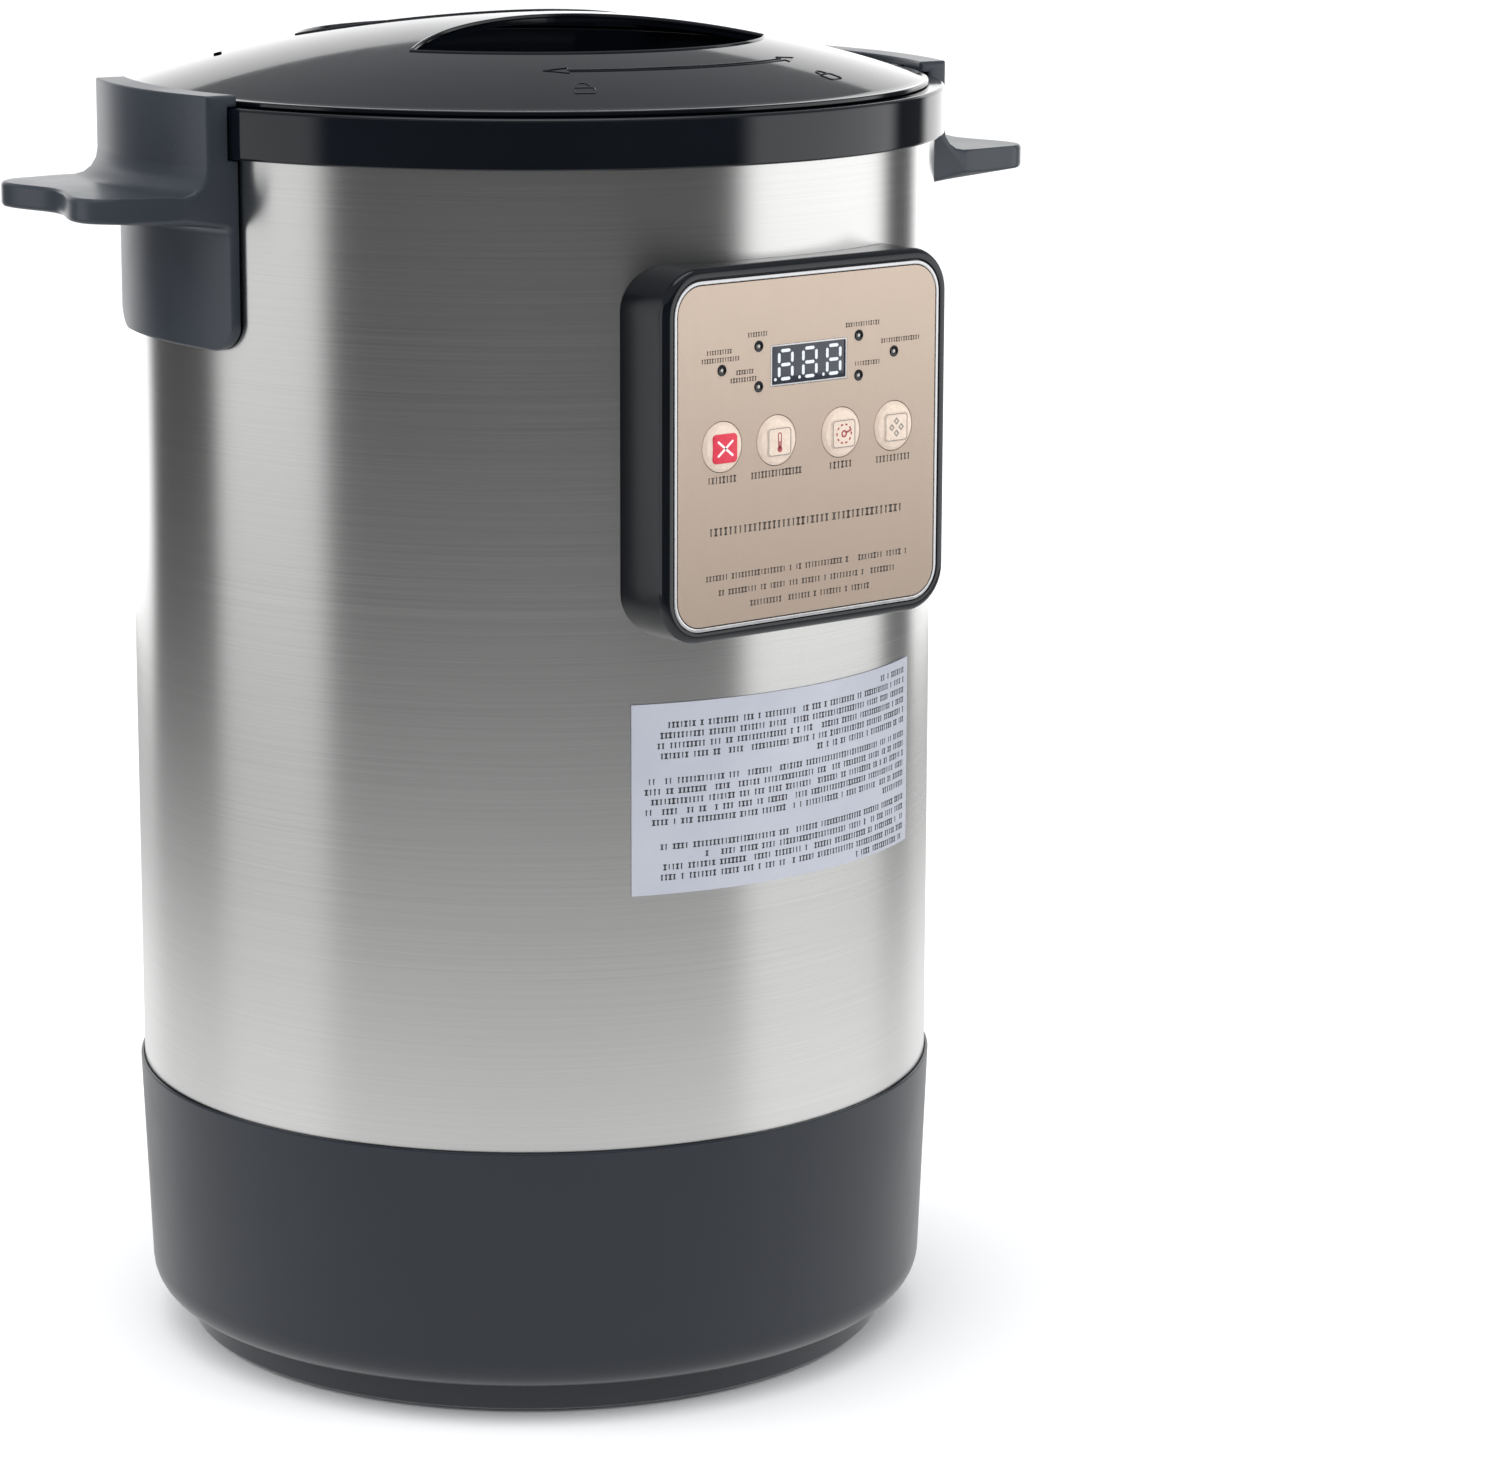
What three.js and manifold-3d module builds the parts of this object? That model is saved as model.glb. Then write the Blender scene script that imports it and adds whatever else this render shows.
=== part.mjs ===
// Multi-function fermenter (yogurt maker): a steel drum on a plastic base, with a fixed inner
// pot, a bayonet lid, two side handles and a control box on the front.
// Millimetres, +Z up. The origin is on the drum's axis, on the surface the feet stand on.
// The control box faces -Y.
import * as THREE from "three";
import { mergeVertices } from "three/addons/utils/BufferGeometryUtils.js";
import Module from "manifold-3d";

const wasm = await Module();
wasm.setup();

// ---------------------------------------------------------------- driving dimensions
const FIT = 0.3; // gap between pieces that seat on or in each other
const CURVE_FIT = 0.45; // gap where two curved faces have different facets
const ROUND = 48; // facets round the drum

// drum
const SHELL_RADIUS = 130; // outside of the steel shell
const DRAWN_RADIUS = 130; // the shell radius that the rings inside the drum are given for
const SHELL_WALL = 0.8;
const SHELL_SEAT = 8.3; // how far the shell drops into the base

// base
const BASE_TOP = 90.6;
const BASE_WALL = 2.6;
const BASE_LIP = 1; // the base's upper edge, round the outside of the shell
const BASE_TAPER = 2.7; // how much the skirt narrows towards its foot
const BASE_ROUNDING = 11.6; // radius of the skirt's lower edge
const RING_HEIGHT = 10.4; // from the floor to the underside of the skirt
const RING_RADIUS = 115.6; // foot ring, part of the bottom cover
const RING_WALL = 3.6;
const BOTTOM_OPENING = 108; // radius of the hole that the bottom cover closes
const COVER_WEB = 2.6;
const FOOT_RADIUS = 9;
const FOOT_CIRCLE = 95; // radius on which the feet stand
const FOOT_PROUD = 1.5; // how far the feet reach below the foot ring
const BASE_SCREW_CIRCLE = 107.5;
const BASE_BOSS_HEIGHT = 20;

// rim, pot and heater
const RIM_TOP = 410.2;
const RIM_HEIGHT = 15.5;
const RIM_WALL = 2.9; // thickness of the rim's outer wall, outside the shell
const RIM_LEDGE_DROP = 8.5; // from the rim's top to the ledge that carries the pot
const RIM_LEDGE_THICK = 3;
const RIM_BORE = 119; // radius above the ledge
const RIM_LEDGE_BORE = 113.5;
const POT_RADIUS = 110; // inside of the pot
const POT_WALL = 0.8;
const POT_CORNER = 18;
const POT_ABOVE_BASE = 21.4; // from the base's upper edge to the pot's underside
const SEAL_THICK = 1.2;
const SLEEVE_THICK = 8.9;
const HEATER_RADIUS = 75;
const HEATER_THICK = 8;
const SENSOR_RADIUS = 8;

// lid
const LID_FLANGE = 1.5;
const LID_INSET = 5.2; // from the rim's outer face to the lid's edge
const DOME_INSET = 1.8; // the flat step between the lid's edge and the dome
const DOME_RISE = 20;
const LID_WALL = 2.5;
const OPENING_RADIUS = 75; // outer edge of the two hand openings
const BAR_WIDTH = 21; // the grip bar between them, at its narrowest
const BAR_ARC = 88; // radius of the bar's hollow sides
const WELL_DEPTH = 6; // from the rim's top down to the well's floor
const WELL_WALL = 2;
const WELL_FLANGE = 19;
const INNER_LID_DROP = 10.2; // from the rim's top down to the inner lid's upper face
const INNER_LID_WALL = 1;
const LUG_WIDTH = 16;
const LUG_THICK = 1.5;
const LUG_AWAY = 17.3; // from the middle of the handle to the lug's middle, lid unlocked
const VENT_ANGLE = -123.4; // degrees from the front
const VENT_RADIUS = 100;

// handles
const HANDLE_TURN = -7.6; // degrees that the handles' line is turned from the X axis
const HANDLE_HALF = 39.5;
const HANDLE_RISE = 3.9; // above the rim's top
const TAB_THICK = 2.95;
const TAB_DROP = 74.7; // from the rim's top to the tab's lower edge
const TAB_CORNER = 10;
const UPRIGHT_THICK = 6.8; // outside the rim
const GRIP_DROP = 25.8; // from the rim's top to the grip's upper face
const GRIP_TIP = 7.5; // thickness at the tip
const GRIP_ROOT = 10.6; // and where it leaves the upright
const GRIP_REACH = 32.6; // from the upright's outer face to the tips of the lobes
const GRIP_LOBE = 10;
const GRIP_SCALLOP = 9; // depth of the hollow between the lobes
const GRIP_FILLET = 8;
const HOOK_REACH = 10.2; // thickness of the upright above the rim
const HOOK_THICK = 1.6;
const POCKET_HALF = 28.4;
const HANDLE_SCREW_SIDE = 22; // from the handle's middle to each of its screws

// control box
const PANEL_WIDTH = 113;
const PANEL_HEIGHT = 114;
const PANEL_CORNER = 14;
const PANEL_PROUD = 8.6; // from the front of the shell to the panel's face
const PANEL_BELOW_RIM = 28.6;
const PANEL_WALL = 2.6;
const PANEL_EDGE = 2.2; // rounding of the box's front edge
const BEZEL_BORDER = 3.4; // black border outside the silver line
const TRIM_WIDTH = 1.2;
const OVERLAY_THICK = 0.9;
const FRONT_WALL = 2.3;
const BOARD_SIDE = 84;
const BOARD_THICK = 1.6;
const WINDOW = { x: 0, z: 25.4, width: 30.6, height: 12.8 };
const BUTTON_RADIUS = 7.5;
const BUTTON_STEM = 3;
const BUTTON_PROUD = 1.6;
const BUTTON_ROW = 2.6; // height of the buttons' centres above the panel's centre
const BUTTONS = { cancel: -34.3, temperature: -12.9, time: 12.9, function: 34.3 };
const BUTTON_CLEARANCE = 0.4;
const LED_RADIUS = 1;
const LED_PLACES = [-1, 1].flatMap((side) => [
  [side * 20, 31.9],
  [side * 34.4, 25.8],
  [side * 20, 19.6],
]);
const PANEL_SCREW = 47; // from the panel's centre to each screw, across and up

// notice label
const LABEL_WIDTH = 120.7;
const LABEL_HEIGHT = 60;
const LABEL_THICK = 0.3;
const LABEL_BELOW_PANEL = 20.6;
const LABEL_ANGLE = 2.3; // degrees from the front to its middle

// mains inlet
const INLET_PROUD = 7.5; // from the drum's radius to the inlet's face
const INLET_HEIGHT = 44;
const INLET_FLANGE = { width: 50, height: 23, thick: 2 };
const INLET_BODY = { width: 27.5, height: 19.5, depth: 22 };
const INLET_CAVITY = { width: 24, height: 16, depth: 17 };
const INLET_PIN = 10;
const INLET_SCREW = 20;
const INLET_BORDER = 2.5; // of the moulded surround

// power board
const POWER_BOARD = { width: 100, depth: 72, thick: 1.6 };
const POST_HEIGHT = 12;

// fasteners
const SCREW_SHANK = 1.5;
const SCREW_HOLE = 1.8;
const SCREW_HEAD = 3.5;
const HEAD_THICK = 2.2;

// ---------------------------------------------------------------- derived places
const shellInner = SHELL_RADIUS - SHELL_WALL;
const shellBottom = BASE_TOP - SHELL_SEAT + FIT;
const rimBottom = RIM_TOP - RIM_HEIGHT;
const rimOuter = SHELL_RADIUS + FIT + RIM_WALL;
const rimLedge = RIM_TOP - RIM_LEDGE_DROP;
const rimUnder = rimLedge - RIM_LEDGE_THICK;
const ring = (radius) => radius + SHELL_RADIUS - DRAWN_RADIUS; // the rings follow the shell
const potFlange = rimLedge + SEAL_THICK + 2 * FIT;
const potBottom = BASE_TOP + POT_ABOVE_BASE;
const webTop = RING_HEIGHT - FIT;
const webBottom = webTop - COVER_WEB;
const panelFace = SHELL_RADIUS + PANEL_PROUD;
const panelCentre = rimBottom - PANEL_BELOW_RIM - PANEL_HEIGHT / 2;
const wallFront = OVERLAY_THICK + FIT;
const wallBack = wallFront + FRONT_WALL;
const boardFront = wallBack + 1.8;
const labelTop = panelCentre - PANEL_HEIGHT / 2 - LABEL_BELOW_PANEL;
const inletFace = SHELL_RADIUS + INLET_PROUD;
const lidRadius = rimOuter - LID_INSET;
const domeRadius = lidRadius - DOME_INSET;
const lidSeat = FIT; // the lid's own frame starts at the rim's top
const domeFoot = lidSeat + LID_FLANGE;
const domeTop = (r) => domeFoot + DOME_RISE * (1 - (r / domeRadius) ** 2);
const domeUnder = (r) => domeTop(r) - LID_WALL;
const openingRadius = ring(OPENING_RADIUS);
const wellInner = openingRadius + 1;
const wellOuter = wellInner + WELL_WALL;
const wellRim = wellOuter + WELL_FLANGE;
const wellFlangeTop = domeUnder(wellRim) - 0.5;
const lidScrewCircle = wellOuter + WELL_FLANGE * 0.58;
const uprightOuter = rimOuter + CURVE_FIT + UPRIGHT_THICK;
const gripTop = RIM_TOP - GRIP_DROP;
const boardTop = webTop + POST_HEIGHT + FIT;
const heaterTop = potBottom - FIT;

// ---------------------------------------------------------------- shape helpers
const rad = THREE.MathUtils.degToRad;

// A closed geometry as a manifold-3d solid.
function solid(geometry) {
  const bare = geometry.index ? geometry.toNonIndexed() : geometry.clone();
  bare.deleteAttribute("normal");
  bare.deleteAttribute("uv");
  const merged = mergeVertices(bare, 1e-3);
  const corners = [];
  for (let i = 0; i < merged.index.count; i += 3) {
    const [a, b, c] = [0, 1, 2].map((k) => merged.index.getX(i + k));
    if (a !== b && b !== c && c !== a) corners.push(a, b, c);
  }
  return new wasm.Manifold(
    new wasm.Mesh({
      numProp: 3,
      vertProperties: merged.attributes.position.array,
      triVerts: new Uint32Array(corners),
    }),
  );
}

function geometryOf(made) {
  const mesh = made.getMesh();
  const geometry = new THREE.BufferGeometry();
  geometry.setAttribute("position", new THREE.BufferAttribute(mesh.vertProperties, 3));
  geometry.setIndex(new THREE.BufferAttribute(mesh.triVerts, 1));
  const flat = geometry.toNonIndexed();
  flat.computeVertexNormals();
  return flat;
}

const join = (...solids) => solids.reduce((all, one) => all.add(one));
const cut = (body, ...tools) => tools.reduce((all, one) => all.subtract(one), body);

// A closed outline of [radius, height] points turned about the Z axis.
function revolve(outline, facets = ROUND) {
  let area = 0;
  outline.forEach(([r, z], i) => {
    const [r2, z2] = outline[(i + 1) % outline.length];
    area += r * z2 - r2 * z;
  });
  const points = (area > 0 ? outline : [...outline].reverse()).map(
    ([r, z]) => new THREE.Vector2(r, z),
  );
  points.push(points[0].clone());
  return solid(new THREE.LatheGeometry(points, facets).rotateX(Math.PI / 2));
}

// Points of an arc in a [radius, height] outline, from one angle to another in degrees.
function arc(centreR, centreZ, radius, from, to, steps) {
  return Array.from({ length: steps + 1 }, (_, i) => {
    const angle = rad(from + ((to - from) * i) / steps);
    return [centreR + radius * Math.cos(angle), centreZ + radius * Math.sin(angle)];
  });
}

// A box between two corners.
function box(low, high) {
  const size = high.map((value, i) => value - low[i]);
  const middle = high.map((value, i) => (value + low[i]) / 2);
  return solid(new THREE.BoxGeometry(...size).translate(...middle));
}

// A cylinder on the Z axis between two heights.
function rod(radius, bottom, top, facets = 12) {
  const height = top - bottom;
  const shape = new THREE.CylinderGeometry(radius, radius, height, facets);
  return solid(shape.rotateX(Math.PI / 2).translate(0, 0, (bottom + top) / 2));
}

// The same cylinder lying along Y.
const rodY = (radius, from, to, facets = 12) =>
  rod(radius, from, to, facets).rotate([-90, 0, 0]);

// The same cylinder lying along X.
const rodX = (radius, from, to, facets = 12) =>
  rod(radius, from, to, facets).rotate([0, 90, 0]);

function roundedRect(width, height, radius) {
  const [w, h] = [width / 2, height / 2];
  const shape = new THREE.Shape();
  shape.absarc(w - radius, h - radius, radius, 0, Math.PI / 2);
  shape.absarc(radius - w, h - radius, radius, Math.PI / 2, Math.PI);
  shape.absarc(radius - w, radius - h, radius, Math.PI, 1.5 * Math.PI);
  shape.absarc(w - radius, radius - h, radius, 1.5 * Math.PI, 2 * Math.PI);
  shape.closePath();
  return shape;
}

// A shape drawn in X and Z, as thick as the stretch from one Y to another.
function slab(shape, from, to, options = {}) {
  const geometry = new THREE.ExtrudeGeometry(shape, {
    depth: to - from,
    bevelEnabled: false,
    curveSegments: 4,
    ...options,
  });
  return solid(geometry.rotateX(Math.PI / 2).translate(0, to, 0));
}

// A shape drawn in X and Y, between two heights.
function plate(shape, bottom, top, steps = 6) {
  const options = { depth: top - bottom, bevelEnabled: false, curveSegments: steps };
  return solid(new THREE.ExtrudeGeometry(shape, options).translate(0, 0, bottom));
}

// A bent round wire through a list of points.
function wire(points, radius, steps) {
  const path = new THREE.CatmullRomCurve3(points.map((p) => new THREE.Vector3(...p)));
  const section = new THREE.Shape().absarc(0, 0, radius, 0, 2 * Math.PI);
  const options = { steps, extrudePath: path, bevelEnabled: false, curveSegments: 4 };
  return solid(new THREE.ExtrudeGeometry(section, options));
}

// A pan-head screw on the Z axis: the head's underside is at 0 and the shank points up.
const screw = (length, head = SCREW_HEAD) =>
  revolve(
    [
      [0, -HEAD_THICK],
      [head * 0.8, -HEAD_THICK],
      [head, 0],
      [SCREW_SHANK, 0],
      [SCREW_SHANK, length],
      [0, length],
    ],
    8,
  );

// ---------------------------------------------------------------- materials and tree
const material = (color, roughness, metalness = 0, extra = {}) =>
  new THREE.MeshStandardMaterial({ color, roughness, metalness, ...extra });
const finishes = {
  steel: material(0xc9c8c6, 0.32, 1),
  potSteel: material(0xd2d2d0, 0.22, 1),
  zinc: material(0xb9babc, 0.35, 1),
  aluminium: material(0xb4b6b8, 0.45, 1),
  basePlastic: material(0x2d3136, 0.55),
  handlePlastic: material(0x34363b, 0.45),
  glossBlack: material(0x0c0e12, 0.12),
  gold: material(0xcdb9a4, 0.4, 0.2),
  silver: material(0xd9dadb, 0.25, 0.9),
  cream: material(0xe4d8c8, 0.4),
  red: material(0xc3202c, 0.4),
  window: material(0x1a1d26, 0.15),
  rubber: material(0x191a1b, 0.85),
  silicone: material(0xe6e4de, 0.6),
  foam: material(0xdad7cf, 0.95),
  board: material(0x1f6b3c, 0.55),
  component: material(0x1c1c1e, 0.5),
  wireBlack: material(0x17181a, 0.6),
  paper: material(0xe9eaee, 0.5),
};

const object = new THREE.Group();

function add(parent, name, shape, finish, place = [0, 0, 0], turn = [0, 0, 0]) {
  const mesh = new THREE.Mesh(shape.isBufferGeometry ? shape : geometryOf(shape), finish);
  mesh.name = name;
  mesh.position.set(...place);
  mesh.rotation.set(...turn.map(rad));
  parent.add(mesh);
  return mesh;
}

function group(parent, place = [0, 0, 0], turnZ = 0) {
  const made = new THREE.Group();
  made.position.set(...place);
  made.rotation.z = rad(turnZ);
  parent.add(made);
  return made;
}

// Places at equal steps round a circle, in degrees from the +X axis.
const around = (count, radius, first) =>
  Array.from({ length: count }, (_, i) => {
    const angle = rad(first + (360 * i) / count);
    return [radius * Math.cos(angle), radius * Math.sin(angle)];
  });

// ---------------------------------------------------------------- base
const baseScrews = around(4, ring(BASE_SCREW_CIRCLE), 0);
const inletScrews = [-INLET_SCREW, INLET_SCREW];
const postPlaces = [-1, 1].flatMap((sx) =>
  [-1, 1].map((sy) => [sx * (POWER_BOARD.width / 2 - 6), sy * (POWER_BOARD.depth / 2 - 6)]),
);

function baseHousing() {
  const lipOuter = SHELL_RADIUS + FIT + BASE_LIP;
  const lipInner = SHELL_RADIUS + FIT;
  const foot = lipOuter - BASE_TAPER;
  const roundZ = RING_HEIGHT + BASE_ROUNDING;
  const ledge = BASE_TOP - SHELL_SEAT;
  const skirt = revolve([
    [lipOuter, BASE_TOP],
    [lipInner, BASE_TOP],
    [lipInner, ledge],
    [shellInner - 3.3, ledge],
    [shellInner - 3.3, ledge - 2.9],
    [lipOuter - BASE_WALL - 0.5, ledge - 5.3],
    ...arc(foot - BASE_ROUNDING, roundZ, BASE_ROUNDING - BASE_WALL, 0, -90, 2),
    [ring(BOTTOM_OPENING), RING_HEIGHT + BASE_WALL],
    [ring(BOTTOM_OPENING), RING_HEIGHT],
    ...arc(foot - BASE_ROUNDING, roundZ, BASE_ROUNDING, -90, 0, 4),
  ]);
  const bosses = baseScrews.map(([x, y]) =>
    rod(4, RING_HEIGHT, RING_HEIGHT + BASE_BOSS_HEIGHT, 8).translate([x, y, 0]),
  );
  const bossHoles = baseScrews.map(([x, y]) =>
    rod(SCREW_HOLE, RING_HEIGHT - 1, RING_HEIGHT + BASE_BOSS_HEIGHT - 3, 8).translate([x, y, 0]),
  );
  // The moulded surround of the mains inlet, at the back.
  const [w, h] = [INLET_FLANGE.width / 2, INLET_FLANGE.height / 2];
  const surround = box(
    [-w - INLET_BORDER, SHELL_RADIUS - 9, INLET_HEIGHT - h - INLET_BORDER],
    [w + INLET_BORDER, inletFace, INLET_HEIGHT + h + INLET_BORDER],
  );
  const flangeSeat = box(
    [-w - FIT, inletFace - INLET_FLANGE.thick - FIT, INLET_HEIGHT - h - FIT],
    [w + FIT, inletFace + 1, INLET_HEIGHT + h + FIT],
  );
  const bodyHole = box(
    [-INLET_BODY.width / 2 - FIT, SHELL_RADIUS - 20, INLET_HEIGHT - INLET_BODY.height / 2 - FIT],
    [INLET_BODY.width / 2 + FIT, inletFace, INLET_HEIGHT + INLET_BODY.height / 2 + FIT],
  );
  const screwHoles = inletScrews.map((x) =>
    rodY(SCREW_HOLE, inletFace - 14, inletFace, 8).translate([x, 0, INLET_HEIGHT]),
  );
  return cut(
    join(skirt, surround, ...bosses),
    flangeSeat,
    bodyHole,
    ...screwHoles,
    ...bossHoles,
  );
}

function bottomCover() {
  const outer = ring(RING_RADIUS);
  const web = revolve([
    [0, webTop],
    [outer, webTop],
    [outer, FOOT_PROUD],
    [outer - RING_WALL, FOOT_PROUD],
    [outer - RING_WALL, webBottom],
    [0, webBottom],
  ]);
  const posts = postPlaces.flatMap(([x, y]) => [
    rod(3, webTop - 1, webTop + POST_HEIGHT, 8).translate([x, y, 0]),
    rod(1.2, webTop, boardTop + POWER_BOARD.thick + 1.5, 6).translate([x, y, 0]),
  ]);
  const holes = baseScrews.map(([x, y]) =>
    rod(SCREW_HOLE, webBottom - 1, webTop + 1, 8).translate([x, y, 0]),
  );
  const slots = Array.from({ length: 8 }, (_, i) =>
    box([58, -1.6, webBottom - 1], [82, 1.6, webTop + 1]).rotate([0, 0, 22.5 + 45 * i]),
  );
  return cut(join(web, ...posts), ...holes, ...slots);
}

function inletShape() {
  const { width: fw, height: fh, thick } = INLET_FLANGE;
  const { width: bw, height: bh, depth } = INLET_BODY;
  const { width: cw, height: ch, depth: cd } = INLET_CAVITY;
  const body = join(
    box([-fw / 2, -thick, -fh / 2], [fw / 2, 0, fh / 2]),
    box([-bw / 2, -depth, -bh / 2], [bw / 2, -thick / 2, bh / 2]),
  );
  const hollow = cut(
    body,
    box([-cw / 2, -cd, -ch / 2], [cw / 2, 1, ch / 2]),
    ...inletScrews.map((x) => rodY(SCREW_HOLE, -thick - 1, 1, 8).translate([x, 0, 0])),
  );
  const pins = [
    [-7, -1.5],
    [0, 2.5],
    [7, -1.5],
  ].flatMap(([x, z]) => [
    box([x - 1, -cd - 1, z - 2], [x + 1, -cd + INLET_PIN, z + 2]),
    box([x - 2.4, -depth - 6, z - 0.5], [x + 2.4, -depth + 1, z + 0.5]),
  ]);
  return join(hollow, ...pins);
}

function powerBoard() {
  const { width, depth, thick } = POWER_BOARD;
  const [w, d] = [width / 2, depth / 2];
  const sheet = box([-w, -d, 0], [w, d, thick]);
  const parts = [
    box([-7, -d, thick - 0.5], [7, -d + 8, 8.6]), // socket of the panel cable
    box([-10, d - 9, thick - 0.5], [10, d, 10.6]), // mains terminals
    rod(5, thick - 0.5, 17).translate([34, -18, 0]),
    rod(4, thick - 0.5, 13).translate([34, -5, 0]),
    box([22, 12, thick - 0.5], [26, 28, 20]), // heat sink
    box([-46, -6, thick - 0.5], [-30, -2, 9]),
  ];
  const holes = postPlaces.map(([x, y]) => rod(1.5, -1, thick + 1, 8).translate([x, y, 0]));
  return cut(join(sheet, ...parts), ...holes);
}

function makeBase() {
  add(object, "base_housing", baseHousing(), finishes.basePlastic);
  add(object, "base_bottom_cover", bottomCover(), finishes.basePlastic);
  const foot = revolve(
    [
      [0, 0],
      [FOOT_RADIUS - 1, 0],
      [FOOT_RADIUS, 1],
      [FOOT_RADIUS, webBottom - FIT],
      [0, webBottom - FIT],
    ],
    16,
  );
  around(4, ring(FOOT_CIRCLE), 45).forEach(([x, y], i) => {
    add(object, `rubber_foot_${i + 1}`, foot, finishes.rubber, [x, y, 0]);
  });
  const baseScrew = screw(COVER_WEB + 14);
  baseScrews.forEach(([x, y], i) => {
    add(object, `base_screw_${i + 1}`, baseScrew, finishes.zinc, [x, y, webBottom - FIT]);
  });

  const inlet = group(object, [0, inletFace, INLET_HEIGHT]);
  add(inlet, "mains_inlet", inletShape(), finishes.component);
  const inletScrew = screw(12, 3);
  inletScrews.forEach((x, i) => {
    const place = [x, FIT, 0];
    add(inlet, `inlet_screw_${i + 1}`, inletScrew, finishes.zinc, place, [90, 0, 0]);
  });

  const power = group(object, [0, 0, boardTop]);
  add(power, "power_board", powerBoard(), finishes.board);
  const standing = POWER_BOARD.thick + FIT;
  const core = join(box([-17, -14, 0], [17, 14, 24]), box([-11, -19, 3], [11, 19, 21]));
  add(power, "transformer", core, finishes.aluminium, [-8, 0, standing]);
  const relayPlace = [-38, 16, standing];
  add(power, "relay", box([-8, -10, 0], [8, 10, 16]), finishes.component, relayPlace);
}

// ---------------------------------------------------------------- drum, pot and heater
const handleScrewZ = gripTop - GRIP_ROOT / 2;
const cableExit = panelCentre - 36;
const handleTurns = { right: HANDLE_TURN, left: HANDLE_TURN + 180 };

function steelShell() {
  const tube = revolve([
    [SHELL_RADIUS, shellBottom],
    [SHELL_RADIUS, rimLedge],
    [shellInner, rimLedge],
    [shellInner, shellBottom],
  ]);
  const panelHoles = [-1, 1].flatMap((sx) =>
    [-1, 1].map((sz) =>
      rodY(2.1, -SHELL_RADIUS - 5, 0, 8).translate([
        sx * PANEL_SCREW,
        0,
        panelCentre + sz * PANEL_SCREW,
      ]),
    ),
  );
  const cableHole = rodY(6, -SHELL_RADIUS - 5, 0).translate([0, 0, cableExit]);
  const handleHoles = Object.values(handleTurns).flatMap((turn) =>
    [-HANDLE_SCREW_SIDE, HANDLE_SCREW_SIDE].map((v) =>
      rodX(2.1, 0, SHELL_RADIUS + 5, 8).translate([0, v, handleScrewZ]).rotate([0, 0, turn]),
    ),
  );
  return cut(tube, ...panelHoles, cableHole, ...handleHoles);
}

function topRim() {
  const skirtOuter = shellInner - FIT;
  const slotTop = rimLedge + FIT;
  return revolve([
    [ring(RIM_LEDGE_BORE), rimUnder],
    [skirtOuter - 3, rimUnder],
    [skirtOuter - 3, rimBottom - 2],
    [skirtOuter, rimBottom - 2],
    [skirtOuter, slotTop],
    [SHELL_RADIUS + FIT, slotTop],
    [SHELL_RADIUS + FIT, rimBottom],
    [rimOuter, rimBottom],
    [rimOuter, RIM_TOP],
    [ring(RIM_BORE), RIM_TOP],
    [ring(RIM_BORE), rimLedge],
    [ring(RIM_LEDGE_BORE), rimLedge],
  ]);
}

function innerPot() {
  const inner = ring(POT_RADIUS);
  const outer = inner + POT_WALL;
  const lip = ring(RIM_BORE) - 0.4;
  const cornerZ = potBottom + POT_WALL + POT_CORNER;
  return revolve([
    [0, potBottom],
    ...arc(inner - POT_CORNER, cornerZ, POT_CORNER + POT_WALL, -90, 0, 3),
    [outer, potFlange],
    [lip, potFlange],
    [lip, potFlange + POT_WALL],
    [inner, potFlange + POT_WALL],
    ...arc(inner - POT_CORNER, cornerZ, POT_CORNER, 0, -90, 3),
    [0, potBottom + POT_WALL],
  ]);
}

function makeDrum() {
  add(object, "steel_shell", steelShell(), finishes.steel);
  add(object, "top_rim", topRim(), finishes.glossBlack);
  add(object, "inner_pot", innerPot(), finishes.potSteel);
  const sealInner = ring(RIM_LEDGE_BORE) + FIT;
  const sealOuter = ring(RIM_BORE) - 0.6;
  const sealZ = rimLedge + FIT;
  const seal = revolve([
    [sealInner, sealZ],
    [sealOuter, sealZ],
    [sealOuter, sealZ + SEAL_THICK],
    [sealInner, sealZ + SEAL_THICK],
  ]);
  add(object, "pot_seal", seal, finishes.silicone);
  const sleeveInner = ring(POT_RADIUS) + POT_WALL + 0.8;
  const sleeveTop = handleScrewZ - 11;
  const sleeve = revolve([
    [sleeveInner, potBottom + 6],
    [sleeveInner + SLEEVE_THICK, potBottom + 6],
    [sleeveInner + SLEEVE_THICK, sleeveTop],
    [sleeveInner, sleeveTop],
  ]);
  add(object, "insulation_sleeve", sleeve, finishes.foam);

  const heater = group(object, [0, 0, heaterTop]);
  const bore = SENSOR_RADIUS + 1;
  const plateShape = revolve(
    [
      [bore, -HEATER_THICK],
      [HEATER_RADIUS, -HEATER_THICK],
      [HEATER_RADIUS, 0],
      [bore, 0],
    ],
    32,
  );
  const terminals = [-12, 12].map((x) =>
    rod(2.5, -HEATER_THICK - 10, -HEATER_THICK + 1, 8).translate([x, -50, 0]),
  );
  add(heater, "heating_plate", join(plateShape, ...terminals), finishes.aluminium);
  const strapTop = -HEATER_THICK - FIT;
  const strap = cut(
    box([-70, -7, strapTop - 2], [70, 7, strapTop]),
    rod(5, strapTop - 5, strapTop + 2, 16),
  );
  add(heater, "heater_bracket", strap, finishes.zinc);
  const sensor = revolve(
    [
      [0, 0],
      [SENSOR_RADIUS, 0],
      [SENSOR_RADIUS, 1 - HEATER_THICK],
      [3.5, 1 - HEATER_THICK],
      [3.5, strapTop - 8],
      [0, strapTop - 8],
    ],
    16,
  );
  add(heater, "temperature_sensor", sensor, finishes.aluminium);
  const fuse = join(rodX(2.4, -6, 6, 8), rodX(0.6, -14, 14, 6));
  add(heater, "thermal_fuse", fuse, finishes.silver, [0, 38, strapTop - 2.6]);
}

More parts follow.
